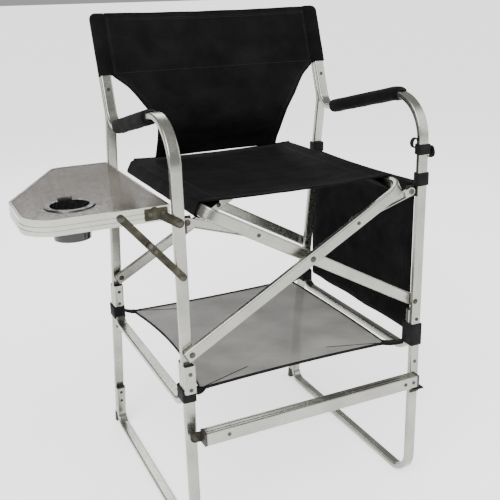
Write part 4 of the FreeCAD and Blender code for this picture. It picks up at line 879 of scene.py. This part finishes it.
def arm_pad(side, sign):
    """A foam sleeve: an oval roll that follows the arm, seamed below, rounded at its ends."""
    rings, around = 60, 36
    long = 245.0 if side == "left" else 290.0
    points, faces = [], []
    for r in range(rings + 1):
        t = r / rings
        distance = -2.0 + long * t
        y, z, ahead_y, ahead_z = arm_line(distance)
        up_y, up_z = ahead_z, -ahead_y
        end = min(t, 1 - t) * long
        close = 1 - (1 - min(end / 9.0, 1)) ** 2.4 * 0.34
        half_wide = (18.0 + 0.5 * ripple(distance, sign * 3, 0, 60.0)) * close
        top = (15.0 + 0.4 * ripple(distance, 8, sign, 50.0)) * close
        bottom = (15.5 + 1.6 * (1 - t) + 1.1 * ripple(distance, 2, sign * 5, 38.0)) * close
        for k in range(around):
            angle = 2 * math.pi * k / around
            c, s = math.cos(angle), math.sin(angle)
            seam = -1.6 * math.exp(-((angle - 1.5 * math.pi) / 0.09) ** 2)
            px = half_wide * math.copysign(abs(c) ** 0.82, c)
            ph = (top if s > 0 else bottom) * math.copysign(abs(s) ** 0.82, s) - seam
            points.append(at(sign * FRAME_HALF + px, y + up_y * ph, z + up_z * ph))
    for r in range(rings):
        for k in range(around):
            j = (k + 1) % around
            faces.append((r * around + k, r * around + j, (r + 1) * around + j, (r + 1) * around + k))
    for ring, flip in ((0, True), (rings, False)):
        y, z, ahead_y, ahead_z = arm_line(-2.0 + long * ring / rings)
        base = len(points)
        for k in range(around):
            outer = points[ring * around + k]
            centre = at(sign * FRAME_HALF, y, z)
            points.append(centre + (outer - centre) * 0.78)
        for k in range(around):
            j = (k + 1) % around
            quad = (ring * around + k, ring * around + j, base + j, base + k)
            faces.append(quad if flip else tuple(reversed(quad)))
        cap = tuple(base + k for k in range(around))
        faces.append(tuple(reversed(cap)) if flip else cap)
    pad = make_mesh(f"arm_foam_{side}", points, faces, FOAM)
    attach(pad, f"{side}_frame")
    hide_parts(f"arm_pad_{side}")


def cup_tab():
    """The small dark grip on the far side of the cup holder's rim."""
    low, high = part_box("cup_holder")
    middle = (low + high) / 2
    steps = 12
    path = [Vector((middle.x + 13 * MM * (2 * k / steps - 1),
                    high.y - 6 * MM - 2.5 * MM * (2 * k / steps - 1) ** 2,
                    high.z + 1.5 * MM)) for k in range(steps + 1)]
    grip = sweep("cup_grip", path, [UP] * len(path), flat_section(9, 5), PLASTIC)
    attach(grip, "table")


# ---------------------------------------------------------------- studio

def studio():
    """A pale floor and soft lights."""
    world = bpy.data.worlds.new("studio")
    bpy.context.scene.world = world
    world.use_nodes = True
    world.node_tree.nodes["Background"].inputs["Color"].default_value = (1.0, 1.0, 1.0, 1)
    world.node_tree.nodes["Background"].inputs["Strength"].default_value = 0.38
    floor = make_mesh("floor", [Vector((-400, -400, 0)), Vector((400, -400, 0)), Vector((400, 400, 0)),
                                Vector((-400, 400, 0))], [(0, 1, 2, 3)], floor_paint())
    for name, place, size, power in (("key", (-2.2, -2.6, 3.2), 2.0, 120),
                                     ("fill", (2.8, -1.8, 2.4), 2.6, 55),
                                     ("rim", (0.6, 3.0, 2.8), 2.0, 60)):
        data = bpy.data.lights.new(name, "AREA")
        data.energy = power
        data.size = size
        lamp = bpy.data.objects.new(name, data)
        lamp.location = place
        aim = Vector((0, 0, 0.6)) - Vector(place)
        lamp.rotation_euler = aim.to_track_quat("-Z", "Y").to_euler()
        bpy.context.scene.collection.objects.link(lamp)
    sun_data = bpy.data.lights.new("soft_sun", "SUN")
    sun_data.energy = 2.6
    sun_data.angle = math.radians(60)
    sun = bpy.data.objects.new("soft_sun", sun_data)
    sun.rotation_euler = (math.radians(28), math.radians(-24), 0)
    bpy.context.scene.collection.objects.link(sun)


def floor_paint():
    """A near-white studio floor."""
    paint = Paint("pale_floor", 0.7)
    paint.colour(paint.ramp(paint.noise(0.8, 3.0), (0.3, 0.93), (0.7, 0.95)))
    return paint.set(Emission_Color=(1, 1, 1, 1), Emission_Strength=1.1)


def camera():
    """The camera at the photograph's viewing angle."""
    yaw, pitch, roll = math.radians(-24.729), math.radians(18.457), math.radians(-1.636)
    back = Vector((math.sin(yaw) * math.cos(pitch), -math.cos(yaw) * math.cos(pitch), math.sin(pitch)))
    right = Vector((0, 0, 1)).cross(back).normalized()
    up = back.cross(right)
    turned_right = right * math.cos(roll) + up * math.sin(roll)
    turned_up = up * math.cos(roll) - right * math.sin(roll)
    data = bpy.data.cameras.new("camera")
    data.sensor_width = 36.0
    data.lens = 54.63
    thing = bpy.data.objects.new("camera", data)
    axes = Matrix((turned_right, turned_up, back)).transposed()
    thing.matrix_world = Matrix.Translation(at(-732.54, -1589.82, 1140.01)) @ axes.to_4x4()
    bpy.context.scene.collection.objects.link(thing)
    bpy.context.scene.camera = thing


paint_carried_nodes()
seat()
back_panel()
for side_name, side_sign in (("left", -1), ("right", 1)):
    back_sleeve(side_name, side_sign)
    shelf_straps(side_name, side_sign)
    arm_pad(side_name, side_sign)
shelf()
side_bag()
leg_straps()
cup_tab()
studio()
camera()
